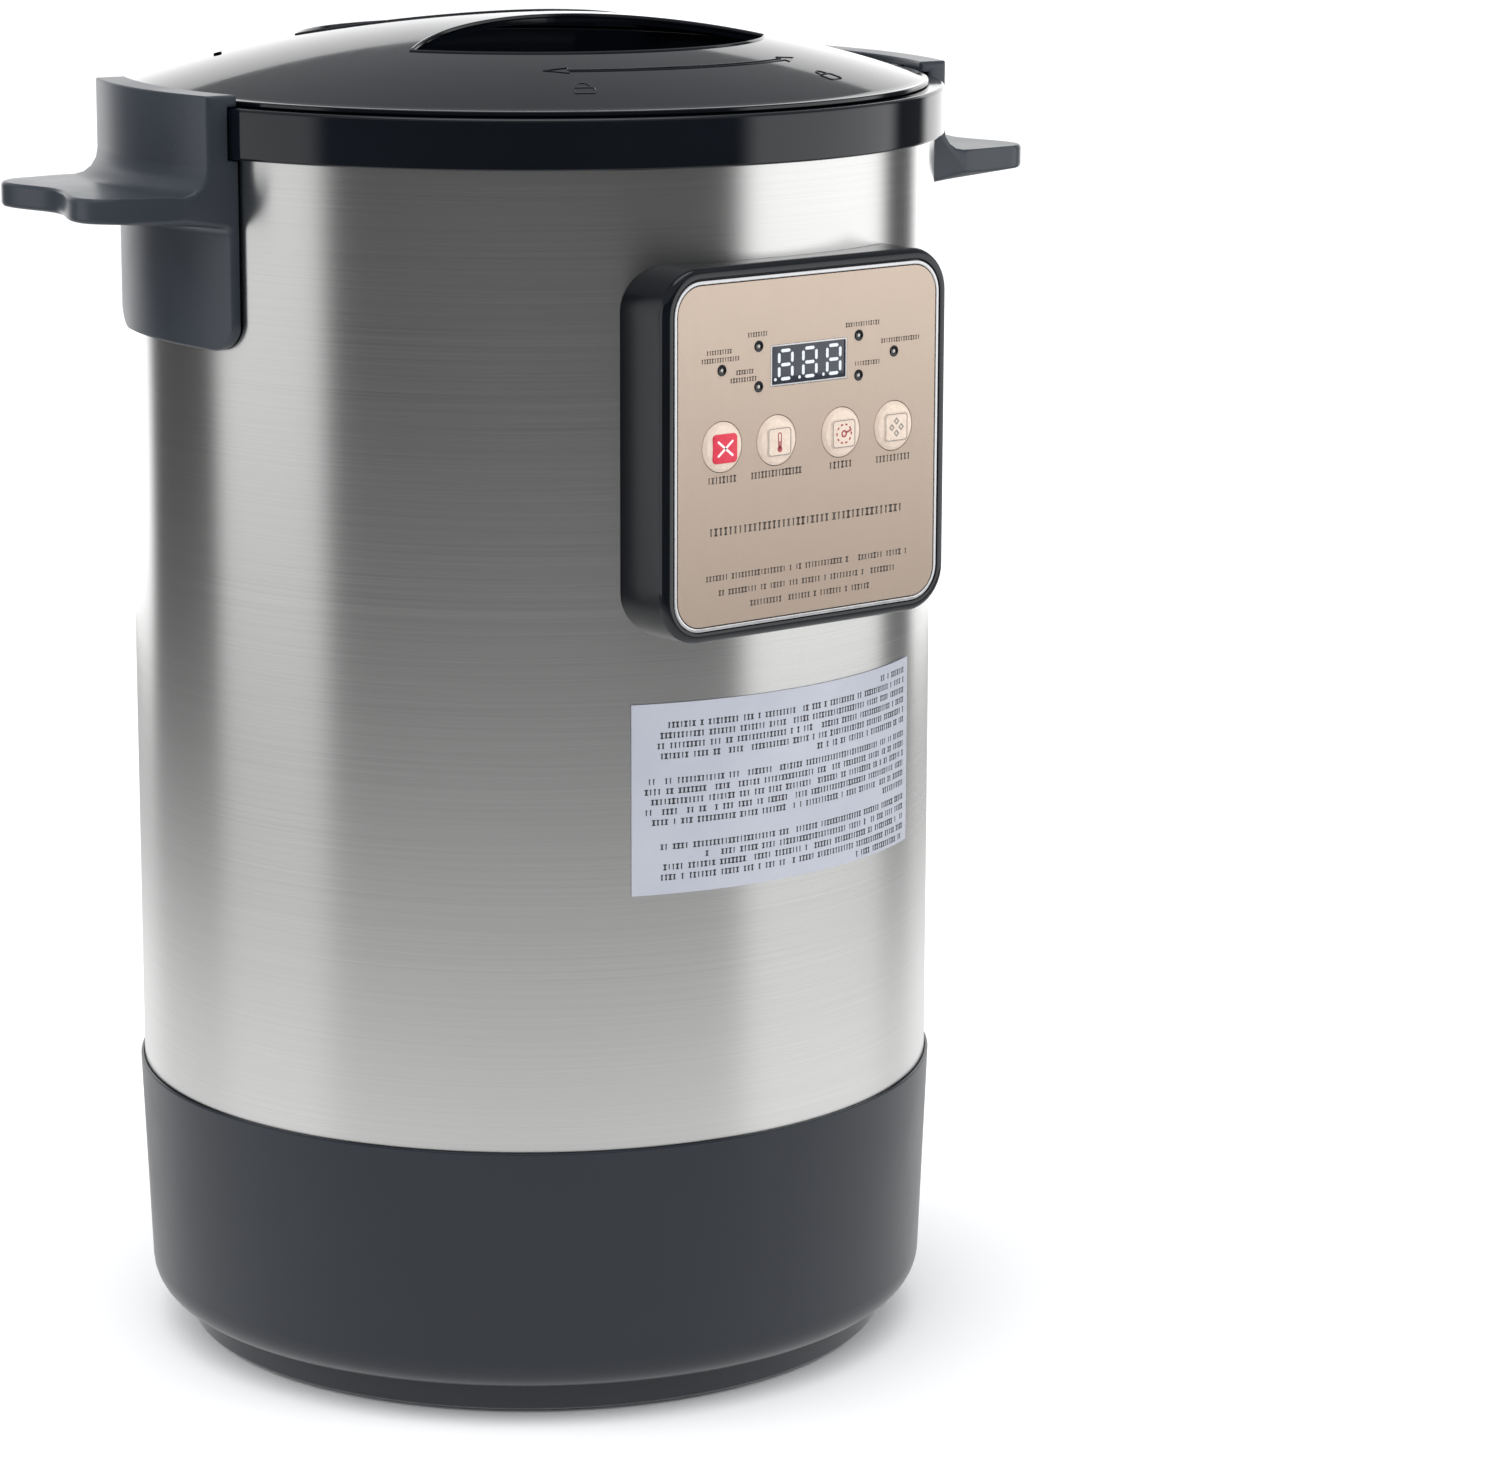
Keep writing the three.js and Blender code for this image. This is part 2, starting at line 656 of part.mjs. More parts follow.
function makeWires() {
  const wireR = 2;
  const shellGap = shellInner - 5.5; // the cable runs between the shell and the sleeve
  const panelBack = -panelFace + boardFront + BOARD_THICK + 2 * FIT;
  const socketZ = boardTop + 5;
  const panelCable = wire(
    [
      [0, panelBack, cableExit],
      [0, panelBack + 3, cableExit - 0.5],
      [0, -shellGap, cableExit - 14],
      [0, -shellGap, (cableExit + BASE_TOP) / 2],
      [0, -shellGap, BASE_TOP + 12],
      [0, -shellGap + 1, BASE_TOP - 14],
      [0, -shellGap + 12, BASE_TOP - 38],
      [0, -shellGap * 0.62, socketZ + 6],
      [0, -POWER_BOARD.depth / 2 - 2 * FIT, socketZ],
    ],
    wireR,
    30,
  );
  add(object, "panel_cable", panelCable, finishes.wireBlack);
  const inletBack = inletFace - INLET_BODY.depth - 6 - FIT;
  const inletWires = wire(
    [
      [0, inletBack, INLET_HEIGHT + 1],
      [0, inletBack - 12, INLET_HEIGHT - 1],
      [0, POWER_BOARD.depth / 2 + 22, socketZ + 6],
      [0, POWER_BOARD.depth / 2 + 2 * FIT, socketZ + 1],
    ],
    wireR,
    14,
  );
  add(object, "inlet_wires", inletWires, finishes.wireBlack);
  const heaterEnd = heaterTop - HEATER_THICK - 10 - FIT;
  const heaterWires = wire(
    [
      [12, -50, heaterEnd],
      [13, -51, heaterEnd - 12],
      [30, -46, (heaterEnd + boardTop) / 2],
      [42, -34, boardTop + 16],
      [42, -22, boardTop + POWER_BOARD.thick + 2.6],
    ],
    1.8,
    16,
  );
  add(object, "heater_wires", heaterWires, finishes.wireBlack);
}

// ---------------------------------------------------------------- handles
// In a handle's own frame X points away from the drum's axis.
function gripOutline() {
  const root = uprightOuter - 10;
  const tip = uprightOuter + GRIP_REACH;
  const side = HANDLE_HALF - 3.2; // half width where the lobes start
  const shape = new THREE.Shape();
  shape.moveTo(root, -HANDLE_HALF);
  shape.lineTo(uprightOuter + 4, -HANDLE_HALF);
  shape.lineTo(tip - GRIP_LOBE, -side);
  shape.absarc(tip - GRIP_LOBE, GRIP_LOBE - side, GRIP_LOBE, -Math.PI / 2, rad(-8), false);
  shape.quadraticCurveTo(tip - GRIP_SCALLOP, -GRIP_LOBE * 1.4, tip - GRIP_SCALLOP, 0);
  shape.quadraticCurveTo(tip - GRIP_SCALLOP, GRIP_LOBE * 1.4, tip - 0.1, side - GRIP_LOBE * 1.14);
  shape.absarc(tip - GRIP_LOBE, side - GRIP_LOBE, GRIP_LOBE, rad(8), Math.PI / 2, false);
  shape.lineTo(uprightOuter + 4, HANDLE_HALF);
  shape.lineTo(root, HANDLE_HALF);
  return shape;
}

function handleShape() {
  const shellFace = SHELL_RADIUS + CURVE_FIT;
  const rimFace = rimOuter + CURVE_FIT;
  const tabFace = shellFace + TAB_THICK;
  const top = RIM_TOP + HANDLE_RISE;
  const tabBottom = RIM_TOP - TAB_DROP;
  const gripUnder = gripTop - GRIP_ROOT;
  const profile = revolve([
    [shellFace, tabBottom],
    [tabFace, tabBottom],
    [tabFace, gripUnder - 4],
    [tabFace + 2, gripUnder - 1],
    [uprightOuter, gripUnder],
    ...arc(uprightOuter + GRIP_FILLET, gripTop + GRIP_FILLET, GRIP_FILLET, -90, -180, 4),
    [uprightOuter, top],
    [uprightOuter - HOOK_REACH, top],
    [uprightOuter - HOOK_REACH, RIM_TOP + FIT],
    [rimFace, RIM_TOP + FIT],
    [rimFace, rimBottom - FIT],
    [shellFace, rimBottom - FIT],
  ]);
  // The outline that the tab and upright show when they are looked at along X.
  const face = roundedRect(2 * HANDLE_HALF, 2 * (top - tabBottom), TAB_CORNER);
  const window = slab(face, 0, 2 * SHELL_RADIUS)
    .rotate([0, 0, -90])
    .translate([0, 0, top]);
  const plateShape = profile.intersect(window);
  const wing = plate(gripOutline(), gripUnder, gripTop);
  const slope = new THREE.Shape();
  slope.moveTo(uprightOuter, gripUnder - 1);
  slope.lineTo(uprightOuter + GRIP_REACH + 5, gripUnder - 1);
  slope.lineTo(uprightOuter + GRIP_REACH + 5, gripTop - GRIP_TIP);
  slope.lineTo(uprightOuter, gripUnder);
  const under = slab(slope, -HANDLE_HALF - 5, HANDLE_HALF + 5);
  // The pocket for the lid's lug: open above on one side, under the hook on the other.
  const pocketBottom = RIM_TOP + FIT / 2;
  const pocketTop = top - HOOK_THICK;
  const pocketOuter = rimOuter + 1;
  const pocket = box([0, -POCKET_HALF, pocketBottom], [pocketOuter, POCKET_HALF, pocketTop]);
  const mouth = box([0, -POCKET_HALF, pocketBottom], [pocketOuter, -3, top + 1]);
  const screwHoles = [-HANDLE_SCREW_SIDE, HANDLE_SCREW_SIDE].map((v) =>
    rodX(SCREW_HOLE, 0, uprightOuter + 8, 8).translate([0, v, handleScrewZ]),
  );
  return cut(join(plateShape, wing.subtract(under)), pocket, mouth, ...screwHoles);
}

function makeHandles() {
  const shape = geometryOf(handleShape());
  const screwShape = screw(19);
  for (const [side, turn] of Object.entries(handleTurns)) {
    const handle = group(object, [0, 0, 0], turn);
    add(handle, `handle_${side}`, shape, finishes.handlePlastic);
    [-HANDLE_SCREW_SIDE, HANDLE_SCREW_SIDE].forEach((v, i) => {
      const seat = Math.sqrt(shellInner ** 2 - (HANDLE_SCREW_SIDE + SCREW_HEAD) ** 2) - 0.6;
      const name = `handle_screw_${side}_${i + 1}`;
      add(handle, name, screwShape, finishes.zinc, [seat, v, handleScrewZ], [0, 90, 0]);
    });
  }
}

// ---------------------------------------------------------------- control box
// Its own frame starts at the middle of the face: X to the right, Y into the box, Z up.
const shellCut = (radius) =>
  rod(radius, -PANEL_HEIGHT, PANEL_HEIGHT, ROUND)
    .rotate([0, 0, 90])
    .translate([0, panelFace, 0]);
const panelScrews = [-1, 1].flatMap((sx) => [-1, 1].map((sz) => [sx * PANEL_SCREW, sz * PANEL_SCREW]));
const inset = (amount) =>
  roundedRect(PANEL_WIDTH - 2 * amount, PANEL_HEIGHT - 2 * amount, PANEL_CORNER - amount);
const buttonPlaces = Object.entries(BUTTONS);

function controlHousing() {
  const block = slab(inset(PANEL_EDGE), PANEL_EDGE, 34, {
    bevelEnabled: true,
    bevelThickness: PANEL_EDGE,
    bevelSize: PANEL_EDGE,
    bevelSegments: 2,
  });
  const cavity = slab(inset(PANEL_WALL), wallBack, 60);
  const recess = slab(inset(BEZEL_BORDER), -1, wallFront);
  const bosses = panelScrews.map(([x, z]) => rodY(4, wallFront + 1, 33, 8).translate([x, 0, z]));
  const bossHoles = panelScrews.map(([x, z]) =>
    rodY(SCREW_HOLE, wallBack + 2.5, 40, 8).translate([x, 0, z]),
  );
  const window = box(
    [WINDOW.x - WINDOW.width / 2 - 0.8, -1, WINDOW.z - WINDOW.height / 2 - 0.8],
    [WINDOW.x + WINDOW.width / 2 + 0.8, wallBack + 1, WINDOW.z + WINDOW.height / 2 + 0.8],
  );
  const stems = buttonPlaces.map(([, x]) =>
    rodY(BUTTON_STEM + BUTTON_CLEARANCE, -1, wallBack + 1).translate([x, 0, BUTTON_ROW]),
  );
  const leds = LED_PLACES.map(([x, z]) =>
    rodY(LED_RADIUS + 0.4, -1, wallBack + 1, 6).translate([x, 0, z]),
  );
  return cut(
    join(block.subtract(cavity), ...bosses),
    recess,
    ...bossHoles,
    window,
    ...stems,
    ...leds,
    shellCut(SHELL_RADIUS + CURVE_FIT),
  );
}

function panelOverlay() {
  const sheet = slab(inset(BEZEL_BORDER + TRIM_WIDTH + 2 * FIT), 0, OVERLAY_THICK);
  const window = box(
    [WINDOW.x - WINDOW.width / 2, -1, WINDOW.z - WINDOW.height / 2],
    [WINDOW.x + WINDOW.width / 2, 2, WINDOW.z + WINDOW.height / 2],
  );
  const holes = buttonPlaces.map(([, x]) =>
    rodY(BUTTON_RADIUS + BUTTON_CLEARANCE, -1, 2, 16).translate([x, 0, BUTTON_ROW]),
  );
  const leds = LED_PLACES.map(([x, z]) => rodY(LED_RADIUS + 0.4, -1, 2, 6).translate([x, 0, z]));
  return cut(sheet, window, ...holes, ...leds);
}

function controlBoard() {
  const half = BOARD_SIDE / 2;
  const back = boardFront + BOARD_THICK;
  const sheet = box([-half, boardFront, -half], [half, back, half]);
  const switches = buttonPlaces.map(([, x]) =>
    box([x - 3, wallBack + 0.3, BUTTON_ROW - 3], [x + 3, boardFront + 0.5, BUTTON_ROW + 3]),
  );
  const leds = LED_PLACES.map(([x, z]) =>
    rodY(LED_RADIUS, 0.3, boardFront + 0.5, 6).translate([x, 0, z]),
  );
  return join(sheet, ...switches, ...leds);
}

function buttonShape() {
  const r = BUTTON_RADIUS;
  const back = OVERLAY_THICK / 2;
  return revolve(
    [
      [0, -BUTTON_PROUD],
      [r * 0.6, -BUTTON_PROUD * 0.92],
      [r * 0.9, -BUTTON_PROUD * 0.6],
      [r, -BUTTON_PROUD * 0.15],
      [r, back],
      [BUTTON_STEM, back],
      [BUTTON_STEM, wallBack - 0.5],
      [0, wallBack - 0.5],
    ],
    16,
  ).rotate([-90, 0, 0]);
}

function makePanel() {
  const panel = group(object, [0, -panelFace, panelCentre]);
  add(panel, "control_housing", controlHousing(), finishes.glossBlack);
  const trim = cut(
    slab(inset(BEZEL_BORDER + FIT), 0, OVERLAY_THICK),
    slab(inset(BEZEL_BORDER + FIT + TRIM_WIDTH), -1, 2),
  );
  add(panel, "panel_trim", trim, finishes.silver);
  add(panel, "panel_overlay", panelOverlay(), finishes.gold);
  const [w, h] = [WINDOW.width / 2 - FIT, WINDOW.height / 2 - FIT];
  const pane = box([-w, 0, -h], [w, OVERLAY_THICK, h]);
  add(panel, "display_window", pane, finishes.window, [WINDOW.x, 0, WINDOW.z]);
  const display = box([-w, wallFront, -h], [w, boardFront - FIT, h]);
  add(panel, "display_module", display, finishes.component, [WINDOW.x, 0, WINDOW.z]);
  add(panel, "control_board", controlBoard(), finishes.board);

  const button = buttonShape();
  for (const [name, x] of buttonPlaces) {
    const finish = name === "cancel" ? finishes.red : finishes.cream;
    add(panel, `button_${name}`, button, finish, [x, 0, BUTTON_ROW]);
  }

  const reach = panelFace - Math.sqrt(shellInner ** 2 - (PANEL_SCREW + SCREW_HEAD) ** 2) + 0.6;
  const panelScrew = screw(reach - wallBack - 3.5);
  panelScrews.forEach(([x, z], i) => {
    add(panel, `panel_screw_${i + 1}`, panelScrew, finishes.zinc, [x, reach, z], [90, 0, 0]);
  });
}

function makeLabel() {
  const inner = SHELL_RADIUS + 0.2;
  const outer = inner + LABEL_THICK;
  const band = revolve([
    [inner, labelTop - LABEL_HEIGHT],
    [outer, labelTop - LABEL_HEIGHT],
    [outer, labelTop],
    [inner, labelTop],
  ]);
  const half = LABEL_WIDTH / SHELL_RADIUS / 2;
  const far = 2 * SHELL_RADIUS;
  const wedge = new THREE.Shape();
  wedge.moveTo(0, 0);
  wedge.lineTo(-far * Math.sin(half), -far * Math.cos(half));
  wedge.lineTo(far * Math.sin(half), -far * Math.cos(half));
  const sector = plate(wedge, labelTop - LABEL_HEIGHT - 1, labelTop + 1).rotate([0, 0, LABEL_ANGLE]);
  add(object, "notice_label", band.intersect(sector), finishes.paper);
}

// ---------------------------------------------------------------- lid
// Its own frame starts on the axis at the rim's top, with X along the grip bar.
function lidCover() {
  const steps = [0.88, 0.72, 0.55, 0.35].map((share) => share * domeRadius);
  const inner = ring(RIM_BORE) + 0.5;
  const dome = revolve([
    [inner, lidSeat],
    [lidRadius, lidSeat],
    [lidRadius, domeFoot],
    [domeRadius, domeFoot],
    ...steps.map((r) => [r, domeTop(r)]),
    [0, domeTop(0)],
    [0, domeUnder(0)],
    ...steps.toReversed().map((r) => [r, domeUnder(r)]),
    [inner, domeUnder(inner)],
  ]);
  const under = revolve([
    [0, wellFlangeTop + FIT],
    [wellRim + 2, wellFlangeTop + FIT],
    [wellRim + 2, domeTop(wellRim + 2) - 1],
    ...steps.filter((r) => r < wellRim).map((r) => [r, domeTop(r) - 1]),
    [0, domeTop(0) - 1],
  ]);
  const places = around(4, lidScrewCircle, 45);
  const bosses = places.map(([x, y]) => rod(4, 0, 40, 8).translate([x, y, 0]).intersect(under));
  const holes = places.map(([x, y]) =>
    rod(SCREW_HOLE, 0, domeUnder(lidScrewCircle + 4) - 0.2, 8).translate([x, y, 0]),
  );
  const opening = new THREE.Shape().absarc(0, 0, openingRadius, 0, 2 * Math.PI);
  const side = new THREE.Shape().absarc(0, BAR_ARC + BAR_WIDTH / 2, BAR_ARC, 0, 2 * Math.PI);
  const lens = plate(opening, -1, 40, 20).intersect(plate(side, -1, 40, 20));
  const vent = box([-7, -1.3, -5], [7, 1.3, 40])
    .rotate([0, 0, 90])
    .translate([ring(VENT_RADIUS), 0, 0])
    .rotate([0, 0, VENT_ANGLE - 90 - HANDLE_TURN]);
  const lugReach = rimOuter - 0.6;
  const lugTurn = THREE.MathUtils.radToDeg(Math.asin(LUG_AWAY / lugReach));
  const lugs = [0, 180].map((turn) =>
    box(
      [lidRadius - 3, -LUG_WIDTH / 2, lidSeat + 0.1],
      [lugReach, LUG_WIDTH / 2, lidSeat + 0.1 + LUG_THICK],
    ).rotate([0, 0, turn - lugTurn]),
  );
  return cut(
    join(dome, ...bosses, ...lugs),
    ...holes,
    lens,
    lens.rotate([0, 0, 180]),
    vent,
  );
}

function gripWell() {
  const floor = -WELL_DEPTH;
  const wallTop = domeUnder(wellOuter) - FIT;
  const flangeUnder = wellFlangeTop - WELL_WALL;
  const bowl = revolve(
    [
      [0, floor],
      [wellInner - 10, floor],
      [wellInner - 3, floor + 3],
      [wellInner, floor + 9],
      [wellInner, wallTop],
      [wellOuter, wallTop],
      [wellOuter, wellFlangeTop],
      [wellRim, wellFlangeTop],
      [wellRim, flangeUnder],
      [wellOuter, flangeUnder],
      [wellOuter, floor + 8],
      [wellOuter - 3.5, floor + 1.4],
      [wellOuter - 11, floor - WELL_WALL],
      [0, floor - WELL_WALL],
    ],
    40,
  );
  const hub = rod(10, floor - WELL_WALL - 1, floor + 4);
  const holes = around(4, lidScrewCircle, 45).map(([x, y]) =>
    rod(SCREW_HOLE, flangeUnder - 1, wellFlangeTop + 1, 8).translate([x, y, 0]),
  );
  return cut(join(bowl, hub), ...holes, rod(2.3, floor - 5, floor + 2));
}

function innerLid() {
  const top = -INNER_LID_DROP;
  const bottom = top - INNER_LID_WALL;
  const wall = ring(POT_RADIUS) - 3;
  const edge = ring(RIM_BORE) - 1.5;
  const flange = -1.5;
  return cut(
    revolve([
      [0, bottom],
      [wall - 3, bottom],
      [wall, bottom + 3],
      [wall, flange - INNER_LID_WALL],
      [edge, flange - INNER_LID_WALL],
      [edge, flange],
      [wall - INNER_LID_WALL, flange],
      [wall - INNER_LID_WALL, top + 2.4],
      [wall - 3.4, top],
      [0, top],
    ]),
    rod(2.4, bottom - 1, top + 1),
    ...around(4, 60, 0).map(([x, y]) => rod(2, bottom - 1, top + 1, 6).translate([x, y, 0])),
  );
}

function makeLid() {
  const lid = group(object, [0, 0, RIM_TOP], HANDLE_TURN);
  add(lid, "inner_lid", innerLid(), finishes.potSteel);
  const flangeUnder = -1.5 - INNER_LID_WALL;
  const gasketTop = flangeUnder - FIT;
  const gasketBottom = potFlange + POT_WALL + FIT - RIM_TOP;
  const edge = ring(RIM_BORE);
  const gasket = revolve([
    [ring(POT_RADIUS) + 0.9, gasketBottom],
    [edge - 0.5, gasketBottom],
    [edge - 0.5, flangeUnder + 1.3],
    [edge - 1.1, flangeUnder + 1.3],
    [edge - 1.1, gasketTop],
    [ring(POT_RADIUS) + 0.9, gasketTop],
  ]);
  add(lid, "lid_gasket", gasket, finishes.silicone);
  const boss = -WELL_DEPTH - WELL_WALL - 1;
  const washer = revolve(
    [
      [2.4, -INNER_LID_DROP + FIT],
      [8, -INNER_LID_DROP + FIT],
      [8, boss - FIT],
      [2.4, boss - FIT],
    ],
    14,
  );
  add(lid, "pivot_washer", washer, finishes.zinc);

  add(lid, "lid_cover", lidCover(), finishes.glossBlack);
  add(lid, "grip_well", gripWell(), finishes.glossBlack);
  const headSeat = -INNER_LID_DROP - INNER_LID_WALL - FIT;
  const pivot = screw(-WELL_DEPTH - headSeat + 1.4, 5);
  add(lid, "pivot_screw", pivot, finishes.zinc, [0, 0, headSeat]);
  const flange = wellFlangeTop - WELL_WALL - FIT;
  const shank = domeUnder(lidScrewCircle + 4) - flange - 0.8;
  const lidScrew = screw(shank);
  around(4, lidScrewCircle, 45).forEach(([x, y], i) => {
    add(lid, `lid_screw_${i + 1}`, lidScrew, finishes.zinc, [x, y, flange]);
  });
}

makeBase();
makeDrum();
makeWires();
makeHandles();
makePanel();
makeLabel();
makeLid();

export default object;
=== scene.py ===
import math
import random

import bmesh
import bpy
from mathutils import Matrix, Vector


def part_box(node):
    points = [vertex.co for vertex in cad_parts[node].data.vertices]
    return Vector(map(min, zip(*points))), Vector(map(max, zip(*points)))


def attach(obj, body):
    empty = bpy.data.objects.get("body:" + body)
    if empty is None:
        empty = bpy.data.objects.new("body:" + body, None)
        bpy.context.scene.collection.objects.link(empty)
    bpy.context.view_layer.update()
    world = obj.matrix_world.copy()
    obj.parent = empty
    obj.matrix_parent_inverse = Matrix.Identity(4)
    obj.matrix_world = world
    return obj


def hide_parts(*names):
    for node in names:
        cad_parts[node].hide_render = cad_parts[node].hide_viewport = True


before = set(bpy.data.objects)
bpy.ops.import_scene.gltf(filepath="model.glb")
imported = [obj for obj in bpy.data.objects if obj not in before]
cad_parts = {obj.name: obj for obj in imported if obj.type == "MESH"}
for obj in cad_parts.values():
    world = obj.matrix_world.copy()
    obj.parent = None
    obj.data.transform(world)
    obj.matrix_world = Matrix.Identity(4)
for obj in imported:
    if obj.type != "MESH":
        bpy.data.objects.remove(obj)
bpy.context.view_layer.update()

# Multi-function fermenter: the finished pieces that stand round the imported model.
# The model is in metres. The sizes below are in millimetres and are scaled where they are used.
MM = 0.001


def box_mm(node):
    low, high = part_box(node)
    return low / MM, high / MM


# ------------------------------------------------------------------ sizes, in millimetres
shell_low, shell_high = box_mm("steel_shell")
rim_low, rim_high = box_mm("top_rim")
base_high = box_mm("base_housing")[1]
ring_low, ring_high = box_mm("base_bottom_cover")
foot_low, foot_high = box_mm("rubber_foot_1")
pot_low, pot_high = box_mm("inner_pot")
sleeve_low, sleeve_high = box_mm("insulation_sleeve")
seal_low, seal_high = box_mm("pot_seal")
plate_high = box_mm("inner_lid")[1]
gasket_low, gasket_high = box_mm("lid_gasket")
cover_high = box_mm("lid_cover")[1]
well_low = box_mm("grip_well")[0]
panel_low, panel_high = box_mm("control_housing")
window_low, window_high = box_mm("display_window")
label_low, label_high = box_mm("notice_label")
inlet_low, inlet_high = box_mm("mains_inlet")
handle_high = box_mm("handle_right")[1]

DRUM = shell_high.x  # outside radius of the steel
AROUND = DRUM + 0.3  # the mouldings' radius outside the steel
WITHIN = DRUM - 4.1  # and inside it
RIM = rim_high.x
RIM_TOP = rim_high.z
RIM_BOTTOM = RIM_TOP - 15.5
BASE_TOP = base_high.z
BASE_LIP = base_high.x
LID_EDGE = RIM - 5.2
DOME = LID_EDGE - 1.8
DOME_TOP = cover_high.z
DOME_FOOT = DOME_TOP - 20
LID_TURN = math.radians(-7.6)  # the lid and the handles stand turned by this much
HAND_RADIUS = 75
BAR_HALF = 10.5
BAR_HOLLOW = 88
PANEL_FACE = -panel_low.y
PANEL_Z = (panel_low.z + panel_high.z) / 2
PANEL_WIDTH = panel_high.x - panel_low.x
PANEL_HEIGHT = panel_high.z - panel_low.z
PANEL_CORNER = 14
BORDER = 3.4
INLET_FACE = inlet_high.y
INLET_Z = (inlet_low.z + inlet_high.z) / 2
SEAT_GAP = 0.45  # from the drum or the rim to what is fixed on it
FULL_TURN = 2 * math.pi
UP = (0, 0, 1)
FRONT = (0, -1, 0)  # the way the panel faces
WELD = 1e-6  # metres under which two points are one
FACETS = 192
FINE_FACETS = 256


def placed(name, data):
    """A new object in the scene."""
    made = bpy.data.objects.new(name, data)
    bpy.context.collection.objects.link(made)
    return made


# ------------------------------------------------------------------ camera
CAMERA_TURN = math.radians(-37.4)  # the camera stands this far round from the front
CAMERA_AWAY = 1.6233
CAMERA_HEIGHT = 0.5481
CAMERA_YAW = 0.044
CAMERA_PITCH = 0.213
CAMERA_ROLL = 0.004
CAMERA_LENS = 120.42


def aim_camera():
    data = bpy.data.cameras.new("camera")
    data.lens = CAMERA_LENS
    data.sensor_width = 36
    camera = placed("camera", data)
    turn = Matrix.Rotation(CAMERA_TURN, 3, "Z")
    level = math.cos(CAMERA_PITCH)
    ahead = turn @ Vector(
        (math.sin(CAMERA_YAW) * level, math.cos(CAMERA_YAW) * level, -math.sin(CAMERA_PITCH))
    )
    flat_right = ahead.cross(Vector(UP)).normalized()
    flat_up = flat_right.cross(ahead)
    right = flat_right * math.cos(CAMERA_ROLL) + flat_up * math.sin(CAMERA_ROLL)
    up = right.cross(ahead)
    camera.matrix_world = Matrix.Translation(
        turn @ Vector((0, -CAMERA_AWAY, CAMERA_HEIGHT))
    ) @ Matrix((right, up, -ahead)).transposed().to_4x4()
    bpy.context.scene.camera = camera


aim_camera()


# ------------------------------------------------------------------ studio
def glow(name):
    """Emission as strong as the mesh's own "strength" says at each point."""
    material = bpy.data.materials.new(name)
    material.use_nodes = True
    shader = material.node_tree.nodes["Principled BSDF"]
    shader.inputs["Base Color"].default_value = (0, 0, 0, 1)
    shader.inputs["Emission Color"].default_value = (1, 1, 1, 1)
    strength = material.node_tree.nodes.new("ShaderNodeAttribute")
    strength.attribute_name = "strength"
    material.node_tree.links.new(strength.outputs["Fac"], shader.inputs["Emission Strength"])
    return material


FLOOR_HALF = 40
SUN_STRENGTH = 3.6
SUN_SPREAD = math.radians(110)
LAMP_AWAY = 1.7
LAMP_HEIGHT = 0.9
LAMP_AIM = (0, 0, 0.25)
WALL_AWAY = 2.6
WALL_STEPS = 240
CARD_POINTS = 64
DIM = 0.055  # the unlit part of the studio as reflections see it
SOFT_EDGE = 9  # degrees over which a card fades at its ends


def studio_wall(cards, away, rows):
    """The wall round the studio that only reflections show, with bright cards on it.

    A card is its middle in degrees from the camera, its width in degrees and its strength.
    A row is a height and the share of the strength there.
    """
    points, strengths = [], []
    for step in range(WALL_STEPS):
        turn = 360 * step / WALL_STEPS - 180
        strength = DIM
        for middle, width, bright in cards:
            off = abs((turn - middle + 180) % 360 - 180)
            cover = min(max((width / 2 - off) / SOFT_EDGE + 0.5, 0), 1)
            strength += (bright - DIM) * cover * cover * (3 - 2 * cover)
        angle = CAMERA_TURN + math.radians(turn)
        for height, share in rows:
            points.append((away * math.sin(angle), -away * math.cos(angle), height))
            strengths.append(strength * share)
    count = len(rows)
    faces = []
    for i in range(WALL_STEPS):
        a, b = count * i, count * ((i + 1) % WALL_STEPS)
        faces += [(a + row, b + row, b + row + 1, a + row + 1) for row in range(count - 1)]
    reflection_only("studio_wall", points, faces, strengths)


def reflection_only(name, points, faces, strengths):
    mesh = bpy.data.meshes.new(name)
    mesh.from_pydata(points, [], faces)
    mesh.attributes.new("strength", "FLOAT", "POINT").data.foreach_set("value", strengths)
    mesh.materials.append(glow(name))
    card = placed(name, mesh)
    card.visible_camera = False
    card.visible_diffuse = False
    card.visible_shadow = False


def round_card(name, height, radii, strengths):
    """A level card of rings that fade from one strength to the next."""
    points, values, faces = [], [], []
    for radius, strength in zip(radii, strengths, strict=True):
        for i in range(CARD_POINTS):
            angle = FULL_TURN * i / CARD_POINTS
            points.append((radius * math.cos(angle), radius * math.sin(angle), height))
            values.append(strength)
    for row in range(len(radii) - 1):
        for i in range(CARD_POINTS):
            j = (i + 1) % CARD_POINTS
            a, b = CARD_POINTS * row, CARD_POINTS * (row + 1)
            faces.append((a + i, a + j, b + j, b + i))
    reflection_only(name, points, faces, values)


